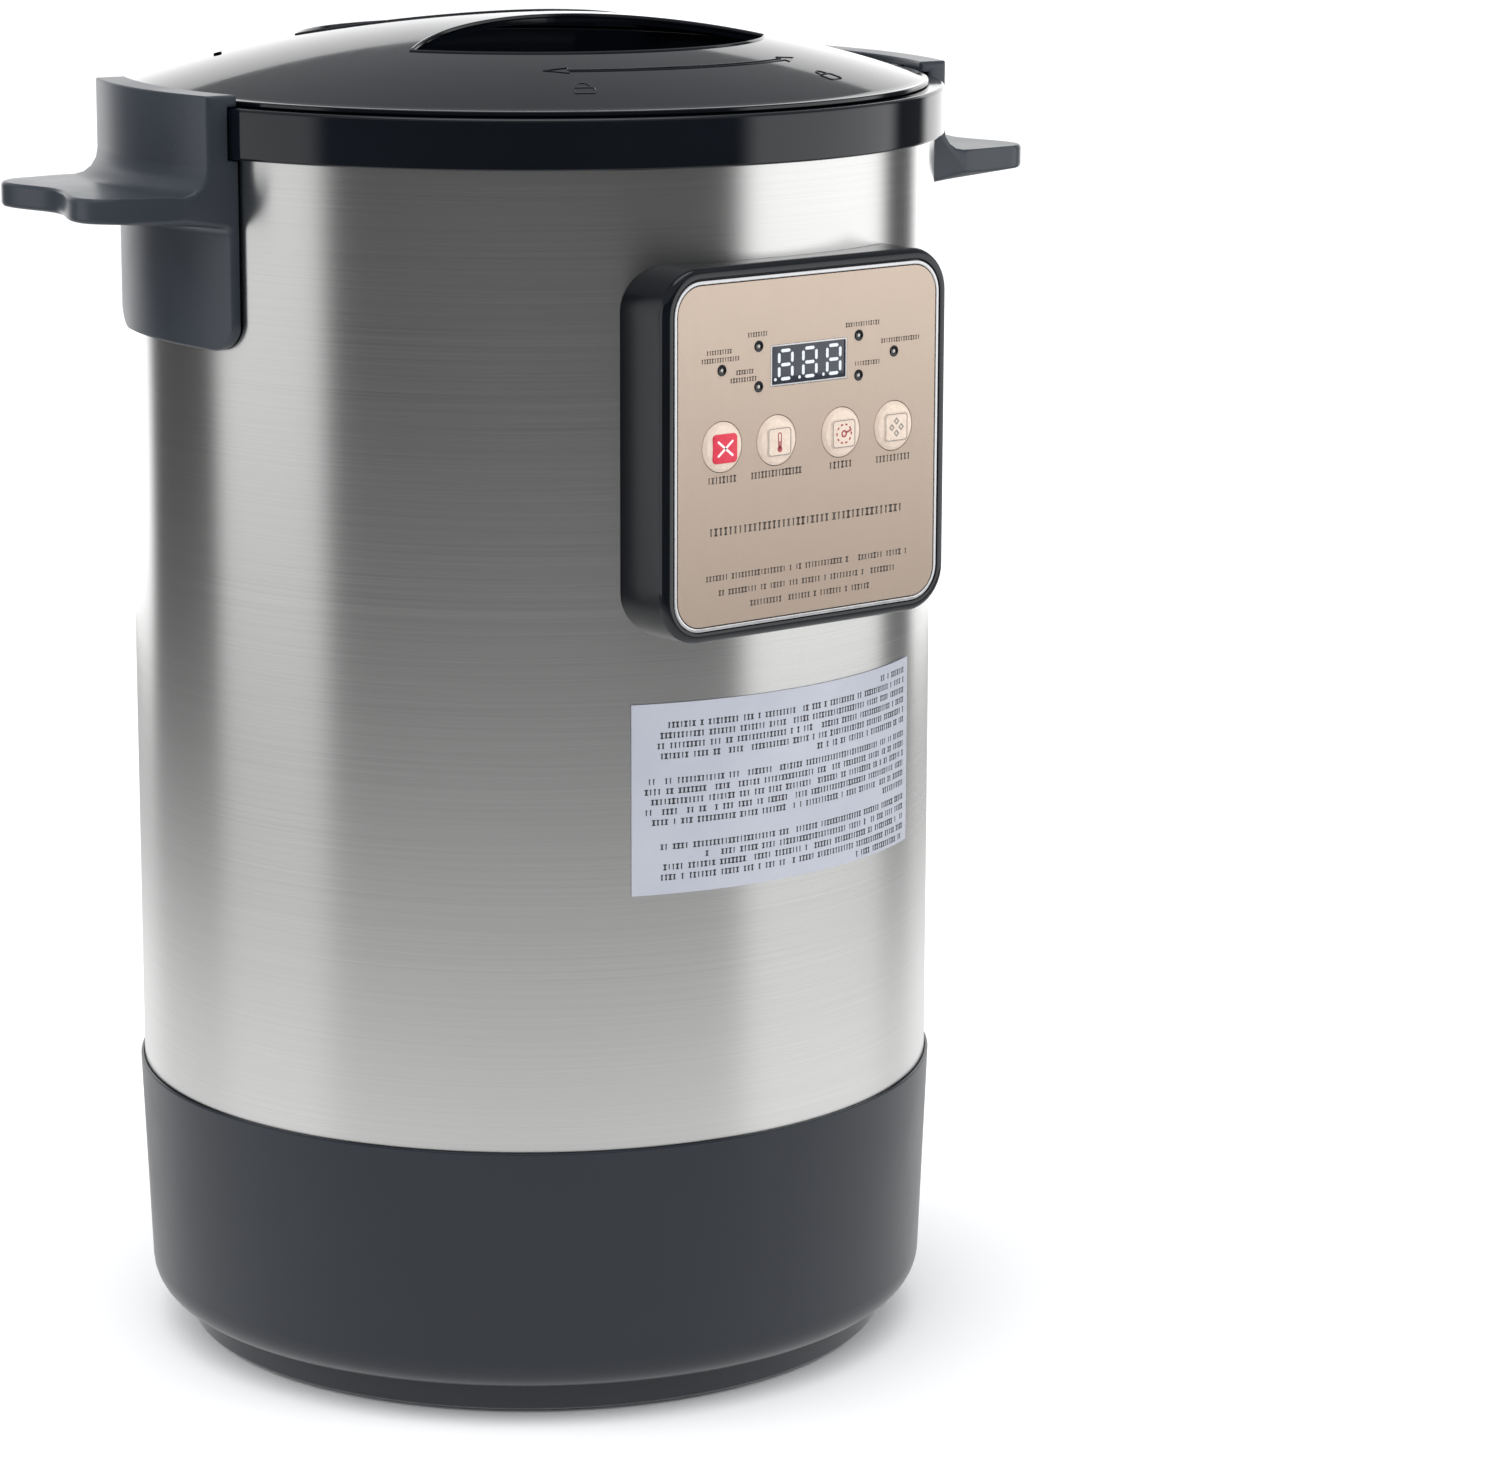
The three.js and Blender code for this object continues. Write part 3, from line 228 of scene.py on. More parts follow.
def light_studio():
    scene = bpy.context.scene
    scene.view_settings.view_transform = "Standard"
    world = bpy.data.worlds.new("studio")
    scene.world = world
    world.use_nodes = True
    backdrop = world.node_tree.nodes["Background"]
    backdrop.inputs["Color"].default_value = (0.95, 0.97, 1, 1)
    backdrop.inputs["Strength"].default_value = 0.32

    floor_mesh = bpy.data.meshes.new("floor")
    corners = [(x * FLOOR_HALF, y * FLOOR_HALF, 0) for x, y in ((-1, -1), (1, -1), (1, 1), (-1, 1))]
    floor_mesh.from_pydata(corners, [], [(0, 1, 2, 3)])
    pale = bpy.data.materials.new("pale_floor")
    pale.use_nodes = True
    shader = pale.node_tree.nodes["Principled BSDF"]
    shader.inputs["Base Color"].default_value = (0.86, 0.865, 0.87, 1)
    shader.inputs["Roughness"].default_value = 0.7
    nodes, links = pale.node_tree.nodes, pale.node_tree.links
    see_through = nodes.new("ShaderNodeMixShader")
    links.new(nodes.new("ShaderNodeNewGeometry").outputs["Backfacing"], see_through.inputs["Fac"])
    links.new(shader.outputs["BSDF"], see_through.inputs[1])
    links.new(nodes.new("ShaderNodeBsdfTransparent").outputs["BSDF"], see_through.inputs[2])
    links.new(see_through.outputs["Shader"], nodes["Material Output"].inputs["Surface"])
    floor_mesh.materials.append(pale)
    floor = placed("floor", floor_mesh)
    floor.visible_glossy = False

    sky = bpy.data.lights.new("overhead", "SUN")
    sky.energy = SUN_STRENGTH
    sky.angle = SUN_SPREAD
    overhead = placed("overhead", sky)
    overhead.rotation_euler = (math.radians(14), math.radians(-12), CAMERA_TURN)
    overhead.visible_glossy = False

    for name, turn, energy in (("side_light_left", -95, 11), ("side_light_right", 80, 15)):
        panel = bpy.data.lights.new(name, "AREA")
        panel.shape = "RECTANGLE"
        panel.size = 1.2
        panel.size_y = 1.4
        panel.energy = energy
        lamp = placed(name, panel)
        angle = CAMERA_TURN + math.radians(turn)
        lamp.location = (LAMP_AWAY * math.sin(angle), -LAMP_AWAY * math.cos(angle), LAMP_HEIGHT)
        aim = Vector(LAMP_AIM) - lamp.location
        lamp.rotation_euler = aim.to_track_quat("-Z", "Y").to_euler()
        lamp.visible_glossy = False

    cards = [(-78, 39, 0.95), (88, 56, 1.5), (180, 86, 1.9)]
    rows = [(-1.4, 1.5), (-0.6, 0.95), (0.1, 0.9), (0.6, 0.85), (1.35, 0.55)]
    studio_wall(cards, WALL_AWAY, rows)
    round_card("bright_table", -0.001, (0.01, 0.5, 0.8, 1.3), (0.85, 0.8, 0.35, DIM))
    round_card("overhead_card", 2.8, (0.01, 0.9, 1.3), (1.6, 1.5, 0.32))


light_studio()


# ------------------------------------------------------------------ finishes
def colour(code):
    """A hex colour as linear red, green, blue and alpha."""
    parts = [int(code[i : i + 2], 16) / 255 for i in (1, 3, 5)]
    linear = [c / 12.92 if c <= 0.04045 else ((c + 0.055) / 1.055) ** 2.4 for c in parts]
    return (*linear, 1)


class Finish:
    """A Principled shader whose patterns lie on Object coordinates."""

    def __init__(self, name, **sockets):
        self.material = bpy.data.materials.new(name)
        self.material.use_nodes = True
        self.nodes = self.material.node_tree.nodes
        self.links = self.material.node_tree.links
        self.shader = self.nodes["Principled BSDF"]
        self.place = self.nodes.new("ShaderNodeTexCoord").outputs["Object"]
        for socket, value in sockets.items():
            self.shader.inputs[socket.replace("_", " ")].default_value = value

    def mapped(self, stretch):
        mapping = self.nodes.new("ShaderNodeMapping")
        mapping.inputs["Scale"].default_value = stretch
        self.links.new(self.place, mapping.inputs["Vector"])
        return mapping.outputs["Vector"]

    def noise(self, scale, stretch=(1, 1, 1), detail=3, rough=0.55):
        noise = self.nodes.new("ShaderNodeTexNoise")
        noise.inputs["Scale"].default_value = scale
        noise.inputs["Detail"].default_value = detail
        noise.inputs["Roughness"].default_value = rough
        self.links.new(self.mapped(stretch), noise.inputs["Vector"])
        return noise.outputs["Fac"]

    def cells(self, scale):
        cells = self.nodes.new("ShaderNodeTexVoronoi")
        cells.inputs["Scale"].default_value = scale
        self.links.new(self.place, cells.inputs["Vector"])
        return cells.outputs["Distance"]

    def span(self, value, low, high, start=0.3, end=0.7):
        span = self.nodes.new("ShaderNodeMapRange")
        span.inputs["From Min"].default_value = start
        span.inputs["From Max"].default_value = end
        span.inputs["To Min"].default_value = low
        span.inputs["To Max"].default_value = high
        self.links.new(value, span.inputs["Value"])
        return span.outputs["Result"]

    def tint(self, value, first, second):
        mix = self.nodes.new("ShaderNodeMix")
        mix.data_type = "RGBA"
        mix.inputs["A"].default_value = colour(first)
        mix.inputs["B"].default_value = colour(second)
        self.links.new(value, mix.inputs["Factor"])
        self.links.new(mix.outputs["Result"], self.shader.inputs["Base Color"])

    def rough(self, value, low, high):
        self.links.new(self.span(value, low, high), self.shader.inputs["Roughness"])

    def bump(self, height, strength, depth):
        bump = self.nodes.new("ShaderNodeBump")
        bump.inputs["Strength"].default_value = strength
        bump.inputs["Distance"].default_value = depth
        self.links.new(height, bump.inputs["Height"])
        self.links.new(bump.outputs["Normal"], self.shader.inputs["Normal"])


def brushed_steel(name, dark, light, stretch, low, high, spread):
    made = Finish(name, Metallic=1, Anisotropic=spread, Anisotropic_Rotation=0.25)
    hair = made.noise(1, stretch, 5, 0.7)
    cloud = made.noise(9, (1, 1, 0.5), 2)
    made.tint(made.span(hair, 0, 1), dark, light)
    both = made.nodes.new("ShaderNodeMath")
    both.operation = "MULTIPLY_ADD"
    both.inputs[1].default_value = 0.75
    made.links.new(hair, both.inputs[0])
    made.links.new(made.span(cloud, 0, 0.12), both.inputs[2])
    made.rough(both.outputs["Value"], low, high)
    made.bump(hair, 0.04, 0.00003)
    tangent = made.nodes.new("ShaderNodeTangent")
    tangent.direction_type = "RADIAL"
    tangent.axis = "Z"
    made.links.new(tangent.outputs["Tangent"], made.shader.inputs["Tangent"])
    return made.material


def moulded(name, first, second, low, high, grain, depth, **sockets):
    """Injection-moulded plastic: a fine spark-eroded grain under a faintly uneven colour."""
    made = Finish(name, **sockets)
    cloud = made.noise(22)
    speck = made.noise(grain, detail=2)
    made.tint(made.span(cloud, 0, 1), first, second)
    made.rough(cloud, low, high)
    made.bump(speck, 0.25, depth)
    return made.material


def gloss(name, first, second, low, high):
    """Polished black plastic with faint wiping marks."""
    made = Finish(name, Coat_Weight=0.15, Coat_Roughness=0.03)
    cloud = made.noise(14, detail=2)
    wipe = made.noise(1, (60, 260, 60), 4, 0.7)
    made.tint(made.span(cloud, 0, 1), first, second)
    made.rough(wipe, low, high)
    made.bump(made.noise(30, detail=1), 0.05, 0.0002)
    return made.material


def metal(name, first, second, low, high, stretch=(1, 1, 1), scale=300, depth=0.00003):
    made = Finish(name, Metallic=1)
    grain = made.noise(scale, stretch, 3)
    made.tint(made.span(grain, 0, 1), first, second)
    made.rough(grain, low, high)
    made.bump(grain, 0.15, depth)
    return made.material


def felted():
    made = Finish("needled_felt", Roughness=0.95, Sheen_Weight=0.4, Sheen_Roughness=0.6)
    fibre = made.noise(420, (1, 1, 2.2), 5, 0.75)
    tuft = made.noise(60)
    made.tint(made.span(fibre, 0, 1), "#b9b4a8", "#ece8de")
    made.rough(tuft, 0.88, 1)
    made.bump(fibre, 0.7, 0.0012)
    return made.material


def board_green():
    made = Finish("circuit_board_green", Coat_Weight=0.3, Coat_Roughness=0.15)
    track = made.cells(260)
    made.tint(made.span(track, 0, 1, 0.2, 0.32), "#2c8a52", "#155030")
    made.rough(track, 0.3, 0.5)
    made.bump(track, 0.3, 0.00005)
    return made.material


def gold_film():
    made = Finish("champagne_film", Metallic=0.25, Coat_Weight=0.15, Coat_Roughness=0.2)
    hair = made.noise(1, (1500, 40, 50), 3, 0.6)
    pearl = made.noise(2600, detail=1)
    # The film is painted darker at its bottom and lighter at its top, by height: painted shade and
    # painted light from above, not a colour the film has.
    apart = made.nodes.new("ShaderNodeSeparateXYZ")
    made.links.new(made.place, apart.inputs["Vector"])
    height = made.span(apart.outputs["Z"], 0, 1, panel_low.z * MM, panel_high.z * MM)
    made.tint(height, "#98887a", "#bcaa9a")
    made.rough(hair, 0.32, 0.46)
    made.bump(pearl, 0.08, 0.00002)
    return made.material


def paper_film():
    made = Finish("notice_film", Coat_Weight=0.25, Coat_Roughness=0.25)
    cloud = made.noise(40)
    made.tint(made.span(cloud, 0, 1), "#a4a8b3", "#abaeb8")
    made.rough(cloud, 0.35, 0.45)
    made.bump(made.noise(900, detail=2), 0.1, 0.00002)
    return made.material


def smooth_paint(name, first, second, low=0.3, high=0.4, **sockets):
    made = Finish(name, **sockets)
    cloud = made.noise(700, detail=2)
    made.tint(made.span(cloud, 0, 1), first, second)
    made.rough(cloud, low, high)
    made.bump(cloud, 0.08, 0.00002)
    return made.material


STEEL = brushed_steel("brushed_steel", "#dfdfde", "#e9e9e8", (6, 6, 3000), 0.24, 0.28, 0.75)
POT_STEEL = metal("drawn_steel", "#c2c2c0", "#dcdcda", 0.16, 0.26, (1, 1, 40), 60)
BASE_PLASTIC = moulded("base_plastic", "#181d25", "#1c2129", 0.28, 0.36, 2400, 0.00003)
HANDLE_PLASTIC = moulded("handle_plastic", "#2a2f36", "#30353c", 0.26, 0.34, 2600, 0.00002)
GLOSS_BLACK = gloss("gloss_black", "#05080d", "#0a0e14", 0.05, 0.1)
GOLD = gold_film()
SILVER = metal("silver_line", "#cfd0d2", "#e4e4e6", 0.22, 0.32)
CREAM = smooth_paint("cream_cap", "#cbb9a9", "#d4c4b5", 0.28, 0.36)
RED = smooth_paint("red_cap", "#c0203a", "#cc2a44", 0.3, 0.38)
GLASS = smooth_paint("smoked_window", "#20242f", "#272c38", 0.1, 0.16, Coat_Weight=0.4)
SEGMENT = smooth_paint("display_segment", "#cfd4dd", "#d9dde5", 0.4, 0.5)
INK = smooth_paint("dark_ink", "#453c37", "#4f4640", 0.45, 0.55)
BLACK_INK = smooth_paint("black_ink", "#252428", "#2e2d31", 0.45, 0.55)
PALE_INK = smooth_paint("pale_ink", "#f3dcdc", "#f8e6e4", 0.4, 0.5)
RED_INK = smooth_paint("red_ink", "#8e3a3c", "#a04648", 0.4, 0.5)
GREY_INK = smooth_paint("grey_ink", "#7c7670", "#8a847e", 0.4, 0.5)
LENS = smooth_paint("led_lens", "#a9a69e", "#b8b5ad", 0.12, 0.2, Coat_Weight=0.5)
PAPER = paper_film()
RUBBER = moulded("rubber", "#161718", "#1f2021", 0.75, 0.9, 1800, 0.0001)
SILICONE = moulded("silicone", "#dcdad3", "#e8e6e0", 0.45, 0.6, 900, 0.00003, Subsurface_Weight=0.1)
ZINC = metal("zinc_plate", "#a9abae", "#c4c6c9", 0.28, 0.42)
ALUMINIUM = metal("cast_aluminium", "#a5a7a9", "#bcbec0", 0.4, 0.55)
FELT = felted()
BOARD = board_green()
EPOXY = moulded("black_epoxy", "#17181a", "#222326", 0.4, 0.55, 1500, 0.00005)
SHEATH = moulded("wire_sheath", "#141517", "#1d1e20", 0.4, 0.55, 1200, 0.00004)

LEFT_NODES = {
    "heating_plate": ALUMINIUM, "heater_bracket": ZINC, "temperature_sensor": ALUMINIUM,
    "thermal_fuse": ZINC, "power_board": BOARD, "control_board": BOARD, "transformer": ALUMINIUM,
    "relay": EPOXY, "display_module": EPOXY, "panel_cable": SHEATH, "inlet_wires": SHEATH,
    "heater_wires": SHEATH, "pivot_washer": ZINC,
}
for node, node_finish in LEFT_NODES.items():
    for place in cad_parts[node].material_slots:
        place.material = node_finish


# ------------------------------------------------------------------ mesh tools
def mesh_from(points, faces, edges=()):
    """A mesh from points in millimetres."""
    mesh = bpy.data.meshes.new("made")
    mesh.from_pydata([Vector(p) * MM for p in points], list(edges), list(faces))
    return mesh


def moved(mesh, matrix):
    mesh.transform(matrix)
    return mesh


def shifted(x, y, z):
    """A move by a distance in millimetres."""
    return Matrix.Translation(Vector((x, y, z)) * MM)


def turned_about(angle, axis="Z"):
    return Matrix.Rotation(angle, 4, axis)


def written(whole, name="made"):
    """A mesh from a bmesh, which is freed."""
    made = bpy.data.meshes.new(name)
    whole.to_mesh(made)
    whole.free()
    return made


def joined(*meshes):
    whole = bmesh.new()
    for mesh in meshes:
        whole.from_mesh(mesh)
    return written(whole)


def evaluated(data, prepare=None):
    """The mesh that an object with this data gives once it has been prepared with modifiers."""
    holder = placed("holder", data)
    if prepare:
        prepare(holder)
    shown = holder.evaluated_get(bpy.context.evaluated_depsgraph_get())
    made = bpy.data.meshes.new_from_object(shown)
    bpy.data.objects.remove(holder)
    return made


def carved(mesh, cutter, operation="DIFFERENCE"):
    tool = placed("cutter", cutter)

    def prepare(holder):
        cut = holder.modifiers.new("cut", "BOOLEAN")
        cut.operation = operation
        cut.solver = "EXACT"
        cut.use_self = True
        cut.object = tool

    made = evaluated(mesh, prepare)
    bpy.data.objects.remove(tool)
    return made


def skin(rings, caps=True):
    """Faces between rings of points with as many points each, closed at both ends."""
    count = len(rings[0])
    points = [point for ring in rings for point in ring]
    faces = []
    for row in range(len(rings) - 1):
        for i in range(count):
            j = (i + 1) % count
            a, b = row * count, (row + 1) * count
            faces.append((a + i, a + j, b + j, b + i))
    if caps:
        faces.append(tuple(range(count))[::-1])
        faces.append(tuple((len(rings) - 1) * count + i for i in range(count)))
    return mesh_from(points, faces)


def rounded(corners, steps=5, support=0.3):
    """An outline whose corners, given as x, y and radius, are arcs with a narrow strip beside."""
    outline = []
    for i, (x, y, radius) in enumerate(corners):
        corner = Vector((x, y))
        if not radius:
            outline.append(corner)
            continue
        before = Vector(corners[i - 1][:2]) - corner
        after = Vector(corners[(i + 1) % len(corners)][:2]) - corner
        one, two = before.normalized(), after.normalized()
        half = one.angle(two) / 2
        reach = radius / math.tan(half)
        middle = (one + two).normalized() * (radius / math.sin(half))
        start, end = one * reach - middle, two * reach - middle
        sweep = start.angle_signed(end)
        outline.append(corner + one * (reach + support))
        for step in range(steps + 1):
            angle = -sweep * step / steps
            spoke = Matrix.Rotation(angle, 2) @ start
            outline.append(corner + middle + spoke)
        outline.append(corner + two * (reach + support))
    return outline


def narrowed(corners, amount):
    """The same corners with every edge moved inwards, for an outline that runs anticlockwise."""
    lines = []
    for i, (x, y, _) in enumerate(corners):
        start, end = Vector((x, y)), Vector(corners[(i + 1) % len(corners)][:2])
        along = (end - start).normalized()
        lines.append((start + Vector((-along.y, along.x)) * amount, along))
    made = []
    for i, (_, _, radius) in enumerate(corners):
        (p, u), (q, v) = lines[i - 1], lines[i]
        cross = u.x * v.y - u.y * v.x
        share = ((q - p).x * v.y - (q - p).y * v.x) / cross
        spot = p + u * share
        made.append((spot.x, spot.y, max(radius - amount, 0.05)))
    return made


def rounded_rectangle(width, height, corner, steps=8, along=1):
    """An anticlockwise outline with its straight sides cut into equal lengths."""
    x, y = width / 2 - corner, height / 2 - corner
    outline = []
    for quarter, (cx, cy) in enumerate(((x, y), (-x, y), (-x, -y), (x, -y))):
        for step in range(steps + 1):
            angle = math.pi / 2 * (quarter + step / steps)
            outline.append(Vector((cx + corner * math.cos(angle), cy + corner * math.sin(angle))))
        ahead = ((-x, y), (-x, -y), (x, -y), (x, y))[quarter]
        turn = math.pi / 2 * (quarter + 1)
        last = outline[-1]
        goal = Vector((ahead[0] + corner * math.cos(turn), ahead[1] + corner * math.sin(turn)))
        outline.extend(last.lerp(goal, step / along) for step in range(1, along))
    return outline


def ring_of(radius, count=32, centre=(0, 0)):
    return [
        Vector(
            (
                centre[0] + radius * math.cos(FULL_TURN * i / count),
                centre[1] + radius * math.sin(FULL_TURN * i / count),
            )
        )
        for i in range(count)
    ]


def area_of(outline):
    return sum(a.x * b.y - b.x * a.y for a, b in zip(outline, [*outline[1:], outline[0]], strict=True))


def flat_shape(outlines, thick, bevel=0.0):
    """A plate in X and Y round z = 0: the first outline is its edge and the others are holes."""
    curve = bpy.data.curves.new("outline", "CURVE")
    curve.dimensions = "2D"
    curve.fill_mode = "BOTH"
    curve.extrude = (thick / 2 - bevel) * MM
    curve.bevel_depth = bevel * MM
    curve.bevel_resolution = 2
    curve.offset = -bevel * MM
    for place, outline in enumerate(outlines):
        if (area_of(outline) > 0) != (place == 0):
            outline = outline[::-1]
        spline = curve.splines.new("POLY")
        spline.points.add(len(outline) - 1)
        for point, spot in zip(spline.points, outline, strict=True):
            point.co = (spot.x * MM, spot.y * MM, 0, 1)
        spline.use_cyclic_u = True
    made = evaluated(curve)
    bpy.data.curves.remove(curve)
    return made


def block(low, high, edge=0.0):
    """A block between two corners, with its upright and level edges bevelled."""
    size = [b - a for a, b in zip(low, high, strict=True)]
    centre = [(a + b) / 2 for a, b in zip(low, high, strict=True)]
    whole = bmesh.new()
    bmesh.ops.create_cube(whole, size=1)
    bmesh.ops.scale(whole, vec=Vector(size) * MM, verts=whole.verts)
    bmesh.ops.translate(whole, vec=Vector(centre) * MM, verts=whole.verts)
    if edge:
        bmesh.ops.bevel(
            whole, geom=whole.edges[:], offset=edge * MM, segments=3, profile=0.5, affect="EDGES"
        )
    return written(whole)


# A shape drawn in X and Y stands up in X and Z and looks towards -Y.
TO_FRONT = turned_about(math.pi / 2, "X")


def on_panel(x, z, proud=0.0):
    """From a shape's own X, Y and Z to the face of the control box."""
    return shifted(x, -PANEL_FACE - proud, PANEL_Z + z) @ TO_FRONT


# ------------------------------------------------------------------ geometry node trees
SOCKETS = {"Facets": "NodeSocketInt", "Seed": "NodeSocketInt", "Part": "NodeSocketObject"}


class Tree:
    """A geometry node tree with named inputs, that gives a plain mesh."""

    def __init__(self, name, **inputs):
        self.group = bpy.data.node_groups.new(name, "GeometryNodeTree")
        sockets = self.group.interface
        sockets.new_socket("Geometry", in_out="INPUT", socket_type="NodeSocketGeometry")
        for label, value in inputs.items():
            label = label.replace("_", " ")
            kind = SOCKETS.get(label, "NodeSocketFloat")
            socket = sockets.new_socket(label, in_out="INPUT", socket_type=kind)
            if value is not None:
                socket.default_value = value
        sockets.new_socket("Geometry", in_out="OUTPUT", socket_type="NodeSocketGeometry")
        self.given = self.group.nodes.new("NodeGroupInput").outputs
        self.result = self.group.nodes.new("NodeGroupOutput").inputs["Geometry"]

    def node(self, kind, links=None, **values):
        """A node with its properties set and its inputs linked or given a value."""
        made = self.group.nodes.new(kind)
        for name, value in values.items():
            setattr(made, name, value)
        for name, value in (links or {}).items():
            socket = made.inputs[name]
            if isinstance(value, bpy.types.NodeSocket):
                self.group.links.new(value, socket)
            else:
                socket.default_value = value
        return made

    def close(self, geometry):
        """Makes the copies real and gives them out."""
        real = self.node("GeometryNodeRealizeInstances", {"Geometry": geometry})
        self.group.links.new(real.outputs["Geometry"], self.result)

    def run(self, mesh, **values):
        keys = {item.name: item.identifier for item in self.group.interface.items_tree}

        def prepare(holder):
            modifier = holder.modifiers.new("tree", "NODES")
            modifier.node_group = self.group
            for label, value in values.items():
                modifier[keys[label.replace("_", " ")]] = value

        return evaluated(mesh, prepare)


PATH_RADIUS = 0.1


def turning_tree():
    """Sweeps the given outline round the Z axis."""
    tree = Tree("turned_on_the_axis", Facets=FACETS)
    outline = tree.node("GeometryNodeMeshToCurve", {"Mesh": tree.given["Geometry"]})
    circle = tree.node(
        "GeometryNodeCurvePrimitiveCircle", {"Resolution": tree.given["Facets"], "Radius": PATH_RADIUS},
    )
    swept = tree.node(
        "GeometryNodeCurveToMesh",
        {"Curve": circle.outputs["Curve"], "Profile Curve": outline.outputs["Curve"]},
    )
    closed = tree.node(
        "GeometryNodeMergeByDistance", {"Geometry": swept.outputs["Mesh"], "Distance": WELD}
    )
    tree.close(closed.outputs["Geometry"])
    return tree


def copying_tree():
    """Puts a copy of a part on every given point, its Z axis along "facing"."""
    tree = Tree("copies_on_points", Part=None)
    part = tree.node("GeometryNodeObjectInfo", {"Object": tree.given["Part"]})
    facing = tree.node("GeometryNodeInputNamedAttribute", {"Name": "facing"}, data_type="FLOAT_VECTOR")
    spin = tree.node("GeometryNodeInputNamedAttribute", {"Name": "spin"}, data_type="FLOAT")
    aligned = tree.node(
        "FunctionNodeAlignRotationToVector", {"Vector": facing.outputs["Attribute"]}, axis="Z"
    )
    own = tree.node("FunctionNodeAxisAngleToRotation", {"Axis": UP, "Angle": spin.outputs["Attribute"]})
    both = tree.node(
        "FunctionNodeRotateRotation",
        {"Rotation": aligned.outputs["Rotation"], "Rotate By": own.outputs["Rotation"]},
        rotation_space="LOCAL",
    )
    copies = tree.node(
        "GeometryNodeInstanceOnPoints",
        {
            "Points": tree.given["Geometry"], "Instance": part.outputs["Geometry"],
            "Rotation": both.outputs["Rotation"],
        },
    )
    tree.close(copies.outputs["Instances"])
    return tree


def lettering_tree():
    """Greeked print: a row of small strokes with word gaps along every given edge."""
    tree = Tree(
        "rows_of_strokes", Pitch=0.001, Height=0.002, Depth=0.0001, Narrow=0.2, Wide=0.4, Gaps=0.16,
        Seed=1,
    )
    rows = tree.node("GeometryNodeMeshToCurve", {"Mesh": tree.given["Geometry"]})
    marks = tree.node(
        "GeometryNodeCurveToPoints", {"Curve": rows.outputs["Curve"], "Length": tree.given["Pitch"]},
        mode="LENGTH",
    )
    chance = tree.node("FunctionNodeRandomValue", {"Seed": tree.given["Seed"]}, data_type="FLOAT")
    gap = tree.node(
        "FunctionNodeCompare", {"A": chance.outputs["Value"], "B": tree.given["Gaps"]},
        data_type="FLOAT", operation="LESS_THAN",
    )
    kept = tree.node(
        "GeometryNodeDeleteGeometry",
        {"Geometry": marks.outputs["Points"], "Selection": gap.outputs["Result"]}, domain="POINT",
    )
    stroke_size = tree.node(
        "ShaderNodeCombineXYZ",
        {"X": tree.given["Pitch"], "Y": tree.given["Depth"], "Z": tree.given["Height"]},
    )
    stroke = tree.node("GeometryNodeMeshCube", {"Size": stroke_size.outputs["Vector"]})
    least = tree.node("ShaderNodeCombineXYZ", {"X": tree.given["Narrow"], "Y": 1, "Z": 0.6})
    most = tree.node("ShaderNodeCombineXYZ", {"X": tree.given["Wide"], "Y": 1, "Z": 1})
    size = tree.node(
        "FunctionNodeRandomValue",
        {"Min": least.outputs["Vector"], "Max": most.outputs["Vector"], "Seed": tree.given["Seed"]},
        data_type="FLOAT_VECTOR",
    )
    copies = tree.node(
        "GeometryNodeInstanceOnPoints",
        {
            "Points": kept.outputs["Geometry"], "Instance": stroke.outputs["Mesh"],
            "Scale": size.outputs["Value"],
        },
    )
    tree.close(copies.outputs["Instances"])
    return tree


def bead_tree():
    """A thin round bead along every given line."""
    tree = Tree("bead_on_a_line", Radius=0.0005, Facets=8)
    line = tree.node("GeometryNodeMeshToCurve", {"Mesh": tree.given["Geometry"]})
    section = tree.node(
        "GeometryNodeCurvePrimitiveCircle",
        {"Resolution": tree.given["Facets"], "Radius": tree.given["Radius"]},
    )
    swept = tree.node(
        "GeometryNodeCurveToMesh",
        {"Curve": line.outputs["Curve"], "Profile Curve": section.outputs["Curve"], "Fill Caps": True},
    )
    tree.close(swept.outputs["Mesh"])
    return tree


TURNING = turning_tree()
COPYING = copying_tree()
LETTERING = lettering_tree()
BEADING = bead_tree()


def turned(outline, facets=FACETS):
    """A turned piece from its outline of radius and height, open only where it meets the axis."""
    points = [(r - PATH_RADIUS / MM, -z, 0) for r, z in outline]
    edges = [(i, i + 1) for i in range(len(points) - 1)]
    if outline[0][0] > 0 or outline[-1][0] > 0:
        edges.append((len(points) - 1, 0))
    return TURNING.run(mesh_from(points, (), edges), Facets=facets)


def copies(part, places):
    """Copies of a part. A place is a point in millimetres, a direction and a spin in radians."""
    points = mesh_from([spot for spot, _, _ in places], ())
    points.attributes.new("facing", "FLOAT_VECTOR", "POINT")
    points.attributes.new("spin", "FLOAT", "POINT")
    for i, (_, direction, angle) in enumerate(places):
        points.attributes["facing"].data[i].vector = direction
        points.attributes["spin"].data[i].value = angle
    holder = placed("part", part)
    made = COPYING.run(points, Part=holder)
    bpy.data.objects.remove(holder)
    return made


PRINT_THICK = 0.08


def print_rows(rows, height, seed, pitch=0.0, gaps=0.16):
    """Greeked rows. A row is its middle's x and z and its length, all in millimetres."""
    layers = []
    bar = height * 0.18
    for shift, tall, narrow, wide in (
        (0, height, 0.2, 0.42), (0.36 * height, bar, 0.3, 0.95), (-0.38 * height, bar, 0.1, 0.9),
    ):
        points = []
        for x, z, length in rows:
            points += [(x - length / 2, 0, z + shift), (x + length / 2, 0, z + shift)]
        edges = [(2 * i, 2 * i + 1) for i in range(len(rows))]
        layers.append(
            LETTERING.run(
                mesh_from(points, (), edges), Pitch=(pitch or height * 0.66) * MM, Height=tall * MM,
                Depth=PRINT_THICK * MM, Narrow=narrow, Wide=wide, Gaps=gaps, Seed=seed,
            )
        )
    return joined(*layers)


